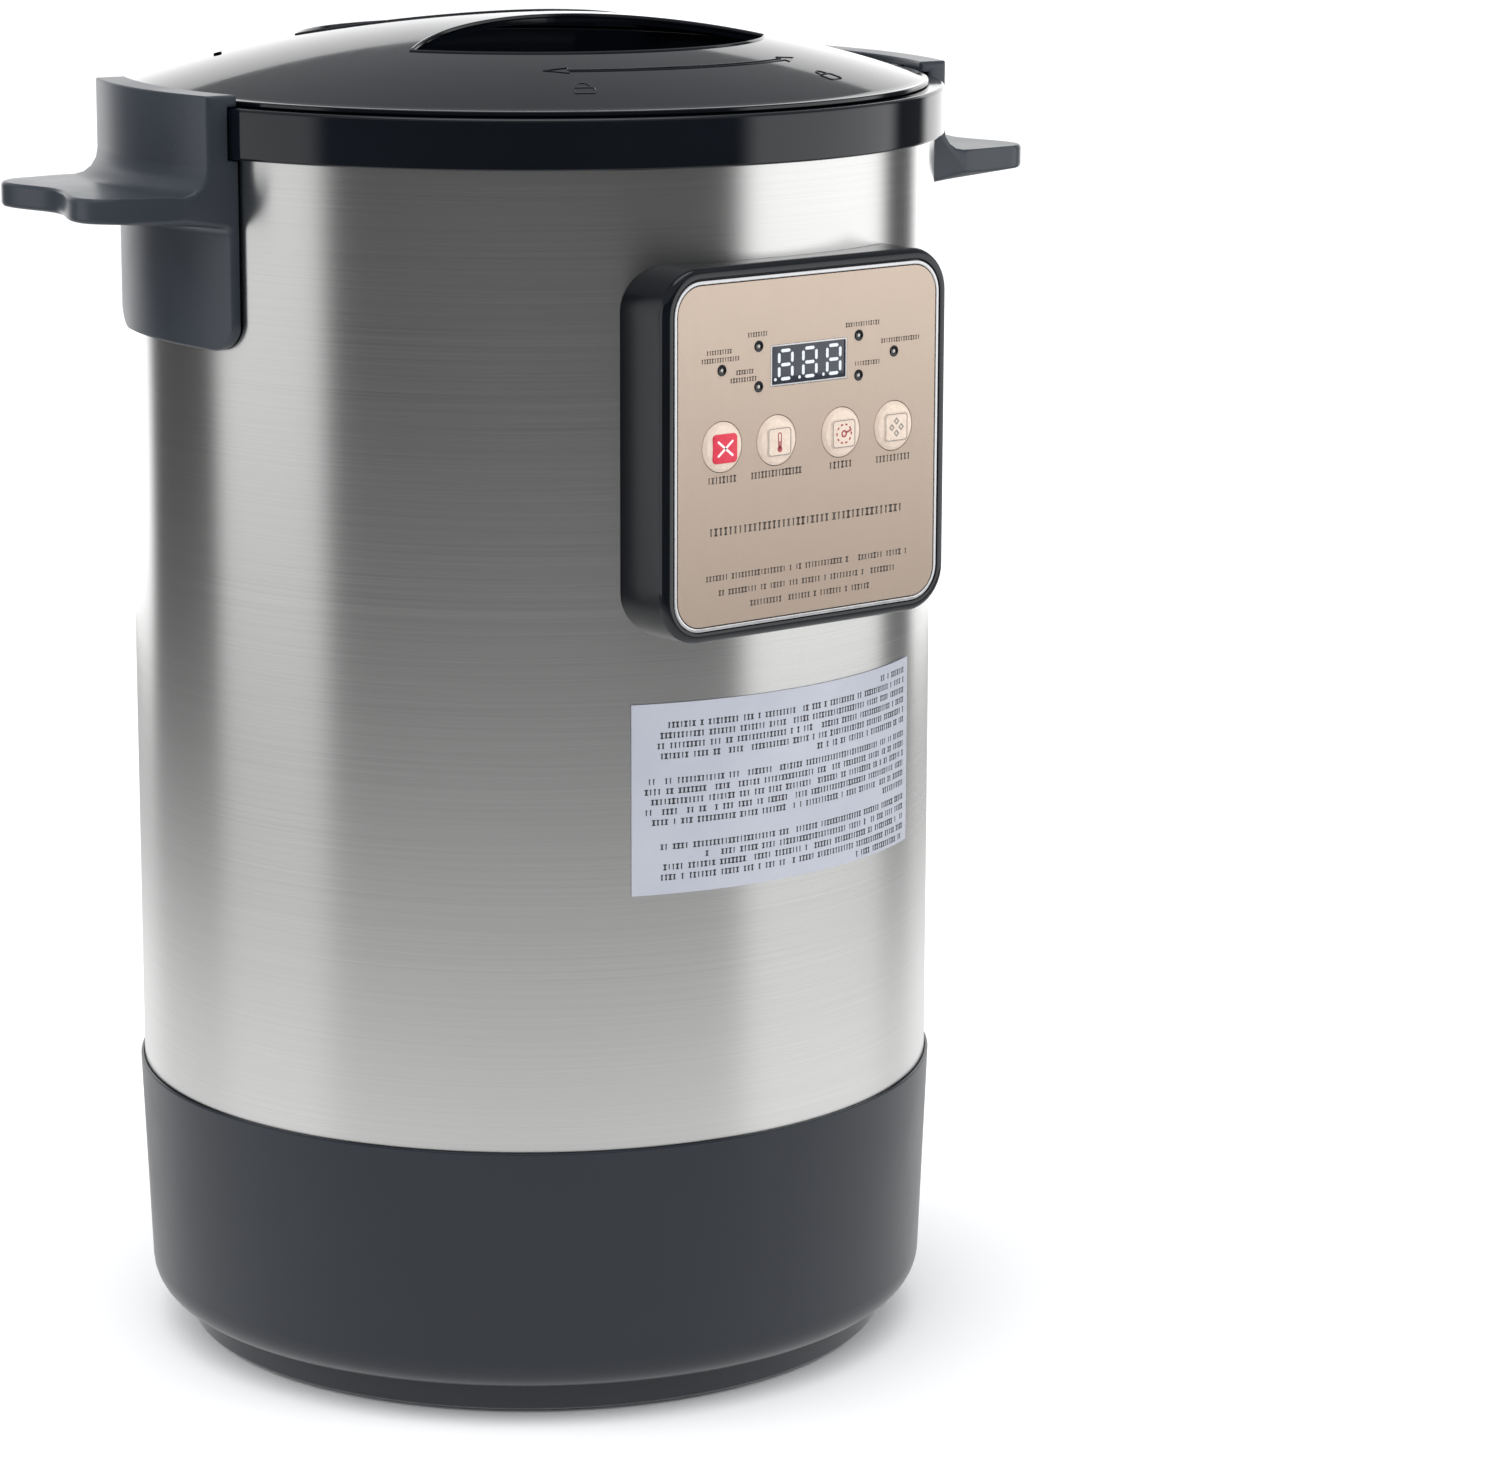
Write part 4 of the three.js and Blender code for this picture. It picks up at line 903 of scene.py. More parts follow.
def bead(lines, radius):
    """Beads along lines of points. A line that ends where it starts is closed."""
    points, edges = [], []
    for line in lines:
        first = len(points)
        ends_meet = (Vector(line[0]) - Vector(line[-1])).length < 1e-6
        spots = line[:-1] if ends_meet else line
        points += spots
        edges += [(first + i, first + i + 1) for i in range(len(spots) - 1)]
        if ends_meet:
            edges.append((first + len(spots) - 1, first))
    return BEADING.run(mesh_from(points, (), edges), Radius=radius * MM)


def piece(name, mesh, finish, *nodes, body="cabinet", sharp=32):
    """A finished piece that rides on a body and stands for the nodes that are named."""
    whole = bmesh.new()
    whole.from_mesh(mesh)
    bmesh.ops.remove_doubles(whole, verts=whole.verts, dist=WELD)
    bmesh.ops.recalc_face_normals(whole, faces=whole.faces)
    made_mesh = written(whole, name)
    made_mesh.materials.append(finish)
    for polygon in made_mesh.polygons:
        polygon.use_smooth = True
    made_mesh.set_sharp_from_angle(angle=math.radians(sharp))
    made = placed(name, made_mesh)
    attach(made, body)
    if nodes:
        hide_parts(*nodes)
    return made


# ------------------------------------------------------------------ base
def make_base():
    foot_radius = BASE_LIP - 3.16
    underside = 10.4
    ledge = BASE_TOP - 8.3
    skirt = rounded([
        (BASE_LIP, BASE_TOP, 0.45), (AROUND, BASE_TOP, 0.2), (AROUND, ledge, 0),
        (WITHIN, ledge, 0), (WITHIN, ledge - 2.9, 0), (BASE_LIP - 3.1, ledge - 5.3, 0),
        (foot_radius - 2.6, underside + 2.6, 9), (108, underside + 2.6, 0.3), (108, underside, 0.3),
        (foot_radius, underside, 11.4),
    ], steps=8)
    hole = block((-14, DRUM - 22, INLET_Z - 10), (14, INLET_FACE + 2, INLET_Z + 10))
    body = carved(turned(skirt, FINE_FACETS), hole)

    width, height = 55, 28
    surround = []
    for depth, inset in (
        (16, 0), (1.2, 0), (0.9, 0.04), (0.35, 0.35), (0.04, 0.9), (0, 1.2), (0, 2.2), (2.3, 2.2),
    ):
        outline = rounded_rectangle(width - 2 * inset, height - 2 * inset, 3 - inset)
        surround.append([(p.x, INLET_FACE - depth, INLET_Z + p.y) for p in outline])
    frame_block = carved(skin(surround), hole)
    piece("base_skirt", joined(body, frame_block), BASE_PLASTIC, "base_housing")

    ring = ring_high.x
    web = 10.1
    cover = rounded([
        (0, web, 0), (ring, web, 0.3), (ring, ring_low.z, 0.8), (ring - 3.6, ring_low.z, 0.6),
        (ring - 3.6, web - 2.6, 1.0), (0, web - 2.6, 0),
    ])
    slot_shape = moved(flat_shape([rounded_rectangle(24, 3.2, 1.5)], 12), shifted(70, 0, web))
    slots = joined(
        *[moved(slot_shape.copy(), turned_about(math.radians(22.5 + 45 * i))) for i in range(8)]
    )
    plate = carved(turned(cover, FINE_FACETS), slots)
    ribs = []
    for r in (30, 50):
        low, high = web - 4, web - 2.6
        rib = rounded([(r, high, 0), (r, low, 0.4), (r - 1.6, low, 0.4), (r - 1.6, high, 0)])
        ribs.append(turned(rib, 96))
    piece("bottom_plate", joined(plate, *ribs), BASE_PLASTIC, "base_bottom_cover")

    foot_r = (foot_high.x - foot_low.x) / 2
    foot_top = foot_high.z
    groove = 0.5
    pad = rounded([
        (0, groove, 0), (2, groove, 0), (2.5, 0, 0.2), (4, 0, 0.2), (4.5, groove, 0), (6, groove, 0),
        (6.5, 0, 0.2), (foot_r, 0, 0.9), (foot_r - 0.3, foot_top, 0.3), (0, foot_top, 0),
    ], steps=3, support=0.1)
    foot = turned(pad, 40)
    spots = []
    for i in range(1, 5):
        low, high = box_mm(f"rubber_foot_{i}")
        spots.append((((low.x + high.x) / 2, (low.y + high.y) / 2, 0), UP, 0))
    feet = copies(foot, spots)
    piece("base_feet", feet, RUBBER, *[f"rubber_foot_{i}" for i in range(1, 5)])


def make_inlet():
    flange = flat_shape([
        rounded_rectangle(50, 23, 2.5), socket_outline(24, 16), ring_of(1.8, 20, (-20, 0)),
        ring_of(1.8, 20, (20, 0)),
    ], 2, 0.25)
    parts = [moved(flange, shifted(0, INLET_FACE - 1, INLET_Z) @ turned_about(-math.pi / 2, "X"))]
    depth = inlet_high.y - inlet_low.y
    shell = []
    for inset, back in ((0, 1.2), (0, 17), (-1.75, 17.6), (-1.75, 1.2)):
        outline = socket_outline(24 - 2 * inset, 16 - 2 * inset)
        shell.append([(p.x, INLET_FACE - back, INLET_Z + p.y) for p in outline])
    parts.append(skin(shell[:2] + [[(p[0], INLET_FACE - 17, p[2]) for p in shell[1]]], caps=False))
    parts.append(skin([shell[2], shell[3]]))
    parts.append(skin([shell[1], [(x, INLET_FACE - 16.9, z) for x, _, z in shell[1]]]))
    for x, z in ((-7, -1.5), (0, 2.5), (7, -1.5)):
        z += INLET_Z
        pin = (x - 1, INLET_FACE - 18, z - 2), (x + 1, INLET_FACE - 7, z + 2)
        tab = (x - 2.4, INLET_FACE - depth, z - 0.5), (x + 2.4, INLET_FACE - 17, z + 0.5)
        parts += [block(*pin, 0.4), block(*tab, 0.1)]
    piece("inlet_socket", joined(*parts), EPOXY, "mains_inlet")


def socket_outline(width, height):
    """An appliance inlet's mouth, with its two upper corners cut off."""
    x, y, cut = width / 2, height / 2, height * 0.28
    return [
        Vector(p)
        for p in ((x, -y), (x, y - cut), (x - cut, y), (cut - x, y), (-x, y - cut), (-x, -y))
    ]


# ------------------------------------------------------------------ drum
def make_drum():
    wall = 0.8
    shell = rounded([
        (DRUM, shell_low.z, 0.2), (DRUM, shell_high.z, 0.2), (DRUM - wall, shell_high.z, 0.2),
        (DRUM - wall, shell_low.z, 0.2),
    ], steps=2, support=0.2)
    piece("drum_shell", turned(shell, FINE_FACETS), STEEL, "steel_shell")

    ledge = RIM_TOP - 8.5
    rim = rounded([
        (RIM, RIM_BOTTOM, 0.7), (RIM, RIM_TOP, 1.1), (119, RIM_TOP, 0.5), (119, ledge, 0),
        (113.5, ledge, 0.4), (113.5, ledge - 3, 0.4), (WITHIN, ledge - 3, 0),
        (WITHIN, rim_low.z, 0.4), (DRUM - 1.1, rim_low.z, 0.4), (DRUM - 1.1, ledge + 0.3, 0),
        (AROUND, ledge + 0.3, 0), (AROUND, RIM_BOTTOM, 0.3),
    ])
    piece("drum_rim", turned(rim, FINE_FACETS), GLOSS_BLACK, "top_rim")

    inner, corner = 110, 18
    lip = pot_high.x
    pot = rounded([
        (0, pot_low.z, 0), (inner + wall, pot_low.z, corner + wall),
        (inner + wall, pot_high.z - wall, 0.8), (lip, pot_high.z - wall, 0.3),
        (lip, pot_high.z, 0.3), (inner, pot_high.z, 0.8), (inner, pot_low.z + wall, corner),
        (0, pot_low.z + wall, 0),
    ], steps=7)
    piece("cooking_pot", turned(pot, 160), POT_STEEL, "inner_pot")

    ribs = [
        (r, seal_high.z if i % 2 else seal_high.z - 0.35, 0.12)
        for i, r in enumerate((118.2, 117.2, 116.2, 115.2, 114.2))
    ]
    seal = rounded(
        [(113.8, seal_low.z, 0.2), (seal_high.x, seal_low.z, 0.2), *ribs], steps=3, support=0.05
    )
    piece("pot_ring_seal", turned(seal, 128), SILICONE, "pot_seal")
    make_felt()


def make_felt():
    outer = sleeve_high.x - 0.4
    inner = outer - 8.2
    low, high = sleeve_low.z + 1, sleeve_high.z - 1
    columns = 96
    draw = random.Random(7)
    waves = [(draw.uniform(0, FULL_TURN), draw.choice((3, 5, 8, 11))) for _ in range(4)]
    rings = []
    for column in range(columns):
        angle = FULL_TURN * column / columns
        ring = []
        corners = [(outer, low, 3), (outer, high, 3), (inner, high, 3), (inner, low, 3)]
        for spot in rounded(corners, steps=5, support=2):
            sag = sum(math.sin(turns * angle + phase + spot.y / 40) for phase, turns in waves)
            radius = spot.x - (0.12 * sag + 0.3 if spot.x > (outer + inner) / 2 else 0)
            ring.append((radius * math.cos(angle), radius * math.sin(angle), spot.y))
        rings.append(ring)
    rings.append(rings[0])
    sleeve = piece("felt_sleeve", skin(rings, caps=False), FELT, "insulation_sleeve", sharp=60)


# ------------------------------------------------------------------ handles
GRIP_TOP = RIM_TOP - 25.8
GRIP_HALF = 39.5
UPRIGHT = RIM + 7.25
HANDLE_TOP = handle_high.z
GRIP_TIP = UPRIGHT + 32.6
LOBE = 11
SCALLOP = 5.5
LOBE_SIDE = GRIP_HALF - 3.2
EDGE_ROUND = 1.1
FILLET = 8  # between the grip and the upright


def grip_outline():
    """Half of the grip's edge from its middle to its side, as pairs of v and x."""
    outline = []
    for step in range(14):
        share = step / 14
        dip = SCALLOP * (1 + math.cos(math.pi * share)) / 2
        outline.append(Vector(((LOBE_SIDE - LOBE) * share, GRIP_TIP - dip)))
    for step in range(12):
        angle = math.pi / 2 * step / 11
        outline.append(
            Vector(
                (LOBE_SIDE - LOBE + LOBE * math.sin(angle), GRIP_TIP - LOBE + LOBE * math.cos(angle))
            )
        )
    start, end = outline[-1], Vector((GRIP_HALF, UPRIGHT + 4))
    outline += [start.lerp(end, step / 5) for step in range(1, 4)]
    for step in range(5):
        angle = math.pi / 2 * step / 4
        v = GRIP_HALF - EDGE_ROUND + EDGE_ROUND * math.sin(angle)
        outline.append(start.lerp(end, (v - start.x) / (end.x - start.x)))
    return outline


def handle_section(v, grip, inset):
    """The handle cut across at v: points of x and z."""

    def bent(radius):
        return math.sqrt(radius**2 - v**2)

    corner = 10
    past = max(abs(v) - GRIP_HALF + corner, 0)
    tab_bottom = RIM_TOP - 74.7 + corner - math.sqrt(max(corner**2 - past**2, 0))
    tab = bent(DRUM + 3.4)
    shell_face = bent(DRUM + SEAT_GAP)
    rim_face = bent(RIM + SEAT_GAP)
    upright = bent(UPRIGHT)
    under = GRIP_TOP - 10.6
    corners = [
        (shell_face, tab_bottom, 0.3), (tab, tab_bottom, 0.9), (tab, under, 3),
        (grip, GRIP_TOP - 7.5, 1.3), (grip, GRIP_TOP, 1.3), (upright, GRIP_TOP, FILLET),
        (upright, HANDLE_TOP, 0.6), (upright - 10.2, HANDLE_TOP, 0.6),
        (upright - 10.2, RIM_TOP + 0.3, 0.2), (rim_face, RIM_TOP + 0.3, 0.2),
        (rim_face, RIM_BOTTOM - 0.3, 0.2), (shell_face, RIM_BOTTOM - 0.3, 0.2),
    ]
    if inset:
        fillet_place = corners.index((upright, GRIP_TOP, FILLET))
        corners = narrowed(corners, inset)
        x, z, _ = corners[fillet_place]
        corners[fillet_place] = (x, z, FILLET)
    return [(p.x, v, p.y) for p in rounded(corners, steps=4, support=0.15)]


def make_handles():
    half = grip_outline()
    sections = []
    for spot in half:
        over = max(spot.x - GRIP_HALF + EDGE_ROUND, 0)
        inset = EDGE_ROUND - math.sqrt(max(EDGE_ROUND**2 - over**2, 0)) if over else 0
        sections.append((spot.x, spot.y, inset))
    whole = [(-v, x, inset) for v, x, inset in sections[:0:-1]] + sections
    body = skin([handle_section(*section) for section in whole])
    wall = 2.6
    reach = GRIP_HALF - wall

    def bay(first, last, outer, inner, low, high):
        rings = []
        for step in range(17):
            v = first + (last - first) * step / 16
            near, far = (math.sqrt(r**2 - v**2) for r in (inner, outer))
            rings.append([(near, v, low), (far, v, low), (far, v, high), (near, v, high)])
        return skin(rings)

    hollow = bay(-reach, reach, UPRIGHT - wall, RIM - 20, RIM_TOP + 0.15, HANDLE_TOP + 5)
    shelf = bay(-3, reach + 1, UPRIGHT - wall + 0.5, UPRIGHT - 10, RIM_TOP + 2.2, RIM_TOP + 3.1)
    shape = joined(carved(body, hollow), shelf)
    for side, turn in (("right", LID_TURN), ("left", LID_TURN + math.pi)):
        handle = moved(shape.copy(), turned_about(turn))
        piece(f"side_handle_{side}", handle, HANDLE_PLASTIC, f"handle_{side}", sharp=28)


# ------------------------------------------------------------------ control box
WINDOW_X = (window_low.x + window_high.x) / 2
WINDOW_Z = (window_low.z + window_high.z) / 2 - PANEL_Z
WINDOW_WIDTH = window_high.x - window_low.x + 0.6
WINDOW_HEIGHT = window_high.z - window_low.z + 0.6
LED_PLACES = [(side * x, z) for side in (-1, 1) for x, z in ((20, 31.9), (34.4, 25.8), (20, 19.6))]
BUTTONS = ("cancel", "temperature", "time", "function")
STEM_HOLE = 3.4
CAP_HOLE = 7.9
LED_HOLE = 1.3


def button_place(name):
    low, high = box_mm(f"button_{name}")
    return (low.x + high.x) / 2, (low.z + high.z) / 2 - PANEL_Z


def make_control_box():
    edge = 2.2

    def outline(inset):
        return rounded_rectangle(
            PANEL_WIDTH - 2 * inset, PANEL_HEIGHT - 2 * inset, PANEL_CORNER - inset, 10, 24
        )

    def level(inset, depth):
        return [(p.x, -PANEL_FACE + depth, PANEL_Z + p.y) for p in outline(inset)]

    def back(inset):
        return [(p.x, -math.sqrt((DRUM + SEAT_GAP) ** 2 - p.x**2), PANEL_Z + p.y) for p in outline(inset)]

    rings = [level(2.6, 3.5), back(2.6), back(0), level(0, edge + 0.3), level(0, edge)]
    for step in range(1, 6):
        angle = math.pi / 2 * step / 5
        rings.append(level(edge * (1 - math.cos(angle)), edge * (1 - math.sin(angle))))
    rings += [
        level(edge + 0.3, 0), level(BORDER - 0.3, 0), level(BORDER - 0.05, 0.08), level(BORDER, 0.3),
        level(BORDER, 1.2),
    ]
    window = rounded_rectangle(WINDOW_WIDTH, WINDOW_HEIGHT, 0.6, 4)
    openings = [[p + Vector((WINDOW_X, WINDOW_Z)) for p in window]]
    openings += [ring_of(STEM_HOLE, 32, button_place(name)) for name in BUTTONS]
    openings += [ring_of(LED_HOLE, 16, place) for place in LED_PLACES]
    tools = joined(*[flat_shape([opening], 8) for opening in openings])
    box = carved(skin(rings), moved(tools, on_panel(0, 0, -2.4)))
    piece("control_box", box, GLOSS_BLACK, "control_housing")

    thick = 0.9
    line = flat_shape([outline(BORDER + 0.3), outline(BORDER + 1.5)], thick, 0.2)
    piece("silver_line", moved(line, on_panel(0, 0, -thick / 2)), SILVER, "panel_trim")
    holes = openings[:1] + [ring_of(CAP_HOLE, 48, button_place(name)) for name in BUTTONS]
    holes += [ring_of(LED_HOLE + 0.05, 20, place) for place in LED_PLACES]
    film = flat_shape([outline(BORDER + 1.8), *holes], thick)
    piece("gold_plate", moved(film, on_panel(0, 0, -thick / 2)), GOLD, "panel_overlay")
    make_display()
    make_panel_print()


def make_display():
    low, high = box_mm("display_window")
    pane = block((low.x, low.y + 0.35, low.z), (high.x, high.y, high.z), 0.12)
    piece("display_glass", pane, GLASS, "display_window")
    border = flat_shape([
        rounded_rectangle(WINDOW_WIDTH - 0.1, WINDOW_HEIGHT - 0.1, 0.5, 4),
        rounded_rectangle(WINDOW_WIDTH - 1.3, WINDOW_HEIGHT - 1.3, 0.2, 4),
    ], 0.6, 0.12)
    piece("display_border", moved(border, on_panel(WINDOW_X, WINDOW_Z, -0.35)), SILVER)
    width, height, stroke, pitch = 5.2, 8.6, 1.0, 9.6
    arm = height / 4
    bar = [(-arm + 0.55, 0), (-arm + 0.95, 0.5 * stroke), (arm - 0.95, 0.5 * stroke)]
    bar = bar + [(-x, -y) for x, y in bar]
    upright_bar = flat_shape([[Vector(p) for p in bar]], 0.16)
    level_bar = upright_bar.copy()
    level_bar.transform(Matrix.Diagonal((width / height * 2, 1, 1, 1)))
    dot = flat_shape([ring_of(0.5, 12)], 0.16)
    y = -PANEL_FACE + 0.3
    uprights, levels, dots = [], [], []
    for digit in (-1, 0, 1):
        x = WINDOW_X + digit * pitch + 0.5
        z = PANEL_Z + WINDOW_Z
        for side in (-1, 1):
            for half in (-1, 1):
                uprights.append(((x + side * width / 2, y, z + half * height / 4), FRONT, math.pi / 2))
        levels += [((x, y, z + step * height / 2), FRONT, 0) for step in (-1, 0, 1)]
        dots.append(((x - width / 2 - 1.5, y, z - height / 2), FRONT, 0))
    digits = joined(copies(upright_bar, uprights), copies(level_bar, levels), copies(dot, dots))
    piece("display_digits", digits, SEGMENT)

    collar = [(0.6, -0.2, 0), (1.75, -0.2, 0), (1.75, 0.1, 0.08), (1.5, 0.3, 0.12), (0.6, 0.12, 0.05)]
    ring = turned(rounded(collar, 2, 0.02), 28)
    bulb = [(0, -0.3, 0), (0.6, -0.3, 0), (0.6, 0.0, 0.2), (0.3, 0.2, 0.3), (0, 0.22, 0)]
    lens = turned(rounded(bulb, 4, 0.02), 24)
    places = [((x, -PANEL_FACE, PANEL_Z + z), FRONT, 0) for x, z in LED_PLACES]
    piece("led_bezels", copies(ring, places), GLOSS_BLACK)
    piece("led_lenses", copies(lens, places), LENS)


def make_panel_print():
    notes = [
        (-20.5, 35.6, 7), (-35.5, 31.4, 9), (-35, 29, 14), (-25.5, 24.6, 6), (-26, 22.3, 9.5),
        (21.5, 35.4, 13), (37, 29.4, 15), (23.5, 23.2, 9.5),
    ]
    lengths = zip(BUTTONS, (10, 19, 8, 13), strict=True)
    captions = [(button_place(name)[0], -7.4, length) for name, length in lengths]
    small = [(0, -37.3, 80), (0, -42, 70), (1, -46.5, 47)]
    rows = [
        print_rows(notes, 1.5, 3, gaps=0.0), print_rows(captions, 2.3, 5, 1.35, gaps=0.0),
        print_rows([(-15.5, -23.2, 46), (24, -23.2, 27)], 2.7, 8, 1.9, gaps=0.0),
        print_rows(small, 1.9, 11),
    ]
    sheet = moved(joined(*rows), shifted(0, -PANEL_FACE - 0.02, PANEL_Z))
    piece("panel_print", sheet, INK)


# ------------------------------------------------------------------ buttons
TILE = (9.4, 8.9)
TILE_DROP = 0.3
TILE_FRONT = 1.66


def on_button(name, proud=0.0):
    x, z = button_place(name)
    return on_panel(x, z - TILE_DROP, TILE_FRONT + proud)


def make_buttons():
    cap = rounded([
        (0, -3, 0), (3, -3, 0.3), (3, -0.35, 0), (7.72, -0.35, 0.1), (7.65, 0.05, 0.2),
        (6.6, 1.05, 0.9), (4.6, 1.42, 2.5), (0, 1.46, 0),
    ], steps=5, support=0.05)
    icons = {
        "cancel": cancel_icon, "temperature": temperature_icon, "time": time_icon,
        "function": function_icon,
    }
    for name in BUTTONS:
        body = f"button_{name}"
        x, z = button_place(name)
        dome = moved(turned(cap, 64), on_panel(x, z))
        tile = flat_shape([rounded_rectangle(*TILE, 1.4)], 1.2, 0.15)
        tile = moved(tile, on_button(name, -0.6))
        if name == "cancel":
            piece("cancel_cap", dome, CREAM, body=body)
            piece("cancel_tile", tile, RED, body, body=body)
        else:
            piece(f"{name}_cap", joined(dome, tile), CREAM, body, body=body)
            edge = flat_shape([
                rounded_rectangle(TILE[0] - 0.4, TILE[1] - 0.4, 1.2),
                rounded_rectangle(TILE[0] - 0.95, TILE[1] - 0.95, 0.95),
            ], 0.08)
            piece(f"{name}_tile_edge", moved(edge, on_button(name, 0.02)), GREY_INK, body=body)
        icons[name](name, body)


def cancel_icon(name, body):
    arm = flat_shape([rounded_rectangle(7.6, 0.7, 0.3)], 0.1)
    cross = joined(*[moved(arm.copy(), turned_about(math.radians(a))) for a in (38, -38)])
    piece("cancel_cross", moved(cross, on_button(name, 0.02)), PALE_INK, body=body)


def temperature_icon(name, body):
    tube = flat_shape([rounded_rectangle(1.5, 4.6, 0.7), rounded_rectangle(0.9, 4, 0.4)], 0.08)
    bulb = flat_shape([ring_of(0.95, 20, (0, -2.2))], 0.1)
    column = flat_shape([rounded_rectangle(0.5, 2.4, 0.2)], 0.1)
    icon = joined(moved(tube, shifted(0, 0.6, 0)), bulb, moved(column, shifted(0, -0.9, 0)))
    piece("thermometer_mark", moved(icon, on_button(name, 0.02)), RED_INK, body=body)


def time_icon(name, body):
    dial_radius = 2.9
    dash = flat_shape([rounded_rectangle(0.9, 0.55, 0.2)], 0.08)
    places = []
    for i in range(10):
        angle = FULL_TURN * i / 10
        spot = (dial_radius * math.cos(angle), dial_radius * math.sin(angle), 0)
        places.append((spot, UP, angle + math.pi / 2))
    dial = copies(dash, places)
    hub = flat_shape([ring_of(1.15, 24), ring_of(0.6, 24)], 0.09)
    hand = flat_shape([rounded_rectangle(2.4, 0.55, 0.2)], 0.09)
    hand = moved(hand, turned_about(math.radians(20)) @ shifted(2, 0, 0))
    piece("clock_mark", moved(joined(dial, hub, hand), on_button(name, 0.02)), RED_INK, body=body)


def function_icon(name, body):
    diamond = [Vector(p) for p in ((1.15, 0), (0, 1.15), (-1.15, 0), (0, -1.15))]
    inner = [p * 0.5 for p in diamond]
    tile = flat_shape([diamond, inner], 0.08)
    places = [((x, y, 0), UP, 0) for x, y in ((1.9, 0), (-1.9, 0), (0, 1.9), (0, -1.9))]
    mark = copies(tile, places)
    piece("function_mark", moved(mark, on_button(name, 0.02)), GREY_INK, body=body)


# ------------------------------------------------------------------ notice
LABEL_MIDDLE = math.radians(2.3)
LABEL_WIDTH = 120.7
LABEL_TOP = label_high.z
LABEL_HEIGHT = label_high.z - label_low.z
LABEL_RADIUS = DRUM + 0.2


def bent_round(mesh, radius):
    """Bends a flat mesh in X and Z round the drum. Its -Y side faces outwards."""
    for vertex in mesh.vertices:
        angle = vertex.co.x / (radius * MM) + LABEL_MIDDLE
        reach = radius * MM - vertex.co.y
        vertex.co = (reach * math.sin(angle), -reach * math.cos(angle), vertex.co.z)
    return mesh


def make_notice():
    thick, steps = 0.3, 40
    rings = []
    for step in range(steps + 1):
        x = LABEL_WIDTH * (step / steps - 0.5)
        rings.append([
            (x, 0, LABEL_TOP - LABEL_HEIGHT), (x, -thick, LABEL_TOP - LABEL_HEIGHT),
            (x, -thick, LABEL_TOP), (x, 0, LABEL_TOP),
        ])
    sheet = bent_round(skin(rings), LABEL_RADIUS)
    piece("paper_notice", sheet, PAPER, "notice_label")
    right = LABEL_WIDTH / 2 - 4
    lengths = (16, 106, 107, 108, 107, 52, 111, 112, 110, 112, 111, 14, 107, 92, 106, 107, 30)
    pauses = {6: 1.4, 12: 1.4}
    rows, z = [], LABEL_TOP - 3.6
    for i, length in enumerate(lengths):
        z -= pauses.get(i, 0)
        rows.append((right - length / 2, z, length))
        z -= 3.22
    lines = print_rows(rows, 2.0, 21, 1.35)
    ink = bent_round(moved(lines, shifted(0, -thick - 0.02, 0)), LABEL_RADIUS)
    piece("notice_print", ink, BLACK_INK)


# ------------------------------------------------------------------ lid
def dome_height(r):
    return DOME_FOOT + (DOME_TOP - DOME_FOOT) * (1 - (r / DOME) ** 2)


def on_dome(azimuth, r, proud=0.0):
    """A point on the dome. The azimuth is in degrees from the front."""
    angle = math.radians(azimuth)
    return (r * math.sin(angle), -r * math.cos(angle), dome_height(r) + proud)


def hand_opening(grow=0.0):
    """One hand opening's outline in the lid's own frame, X along the bar."""
    radius, hollow = HAND_RADIUS + grow, BAR_HOLLOW + grow
    centre = BAR_HOLLOW + BAR_HALF
    y = (radius**2 - hollow**2 + centre**2) / (2 * centre)
    outer = math.atan2(y, math.sqrt(radius**2 - y**2))
    side = math.atan2(y - centre, math.sqrt(radius**2 - y**2))
    outline = []
    steps = 48
    for step in range(steps):
        angle = outer + (math.pi - 2 * outer) * step / steps
        outline.append(Vector((radius * math.cos(angle), radius * math.sin(angle))))
    for step in range(steps):
        angle = math.pi - side + (math.pi + 2 * side) * step / steps
        outline.append(Vector((hollow * math.cos(angle), centre + hollow * math.sin(angle))))
    return outline


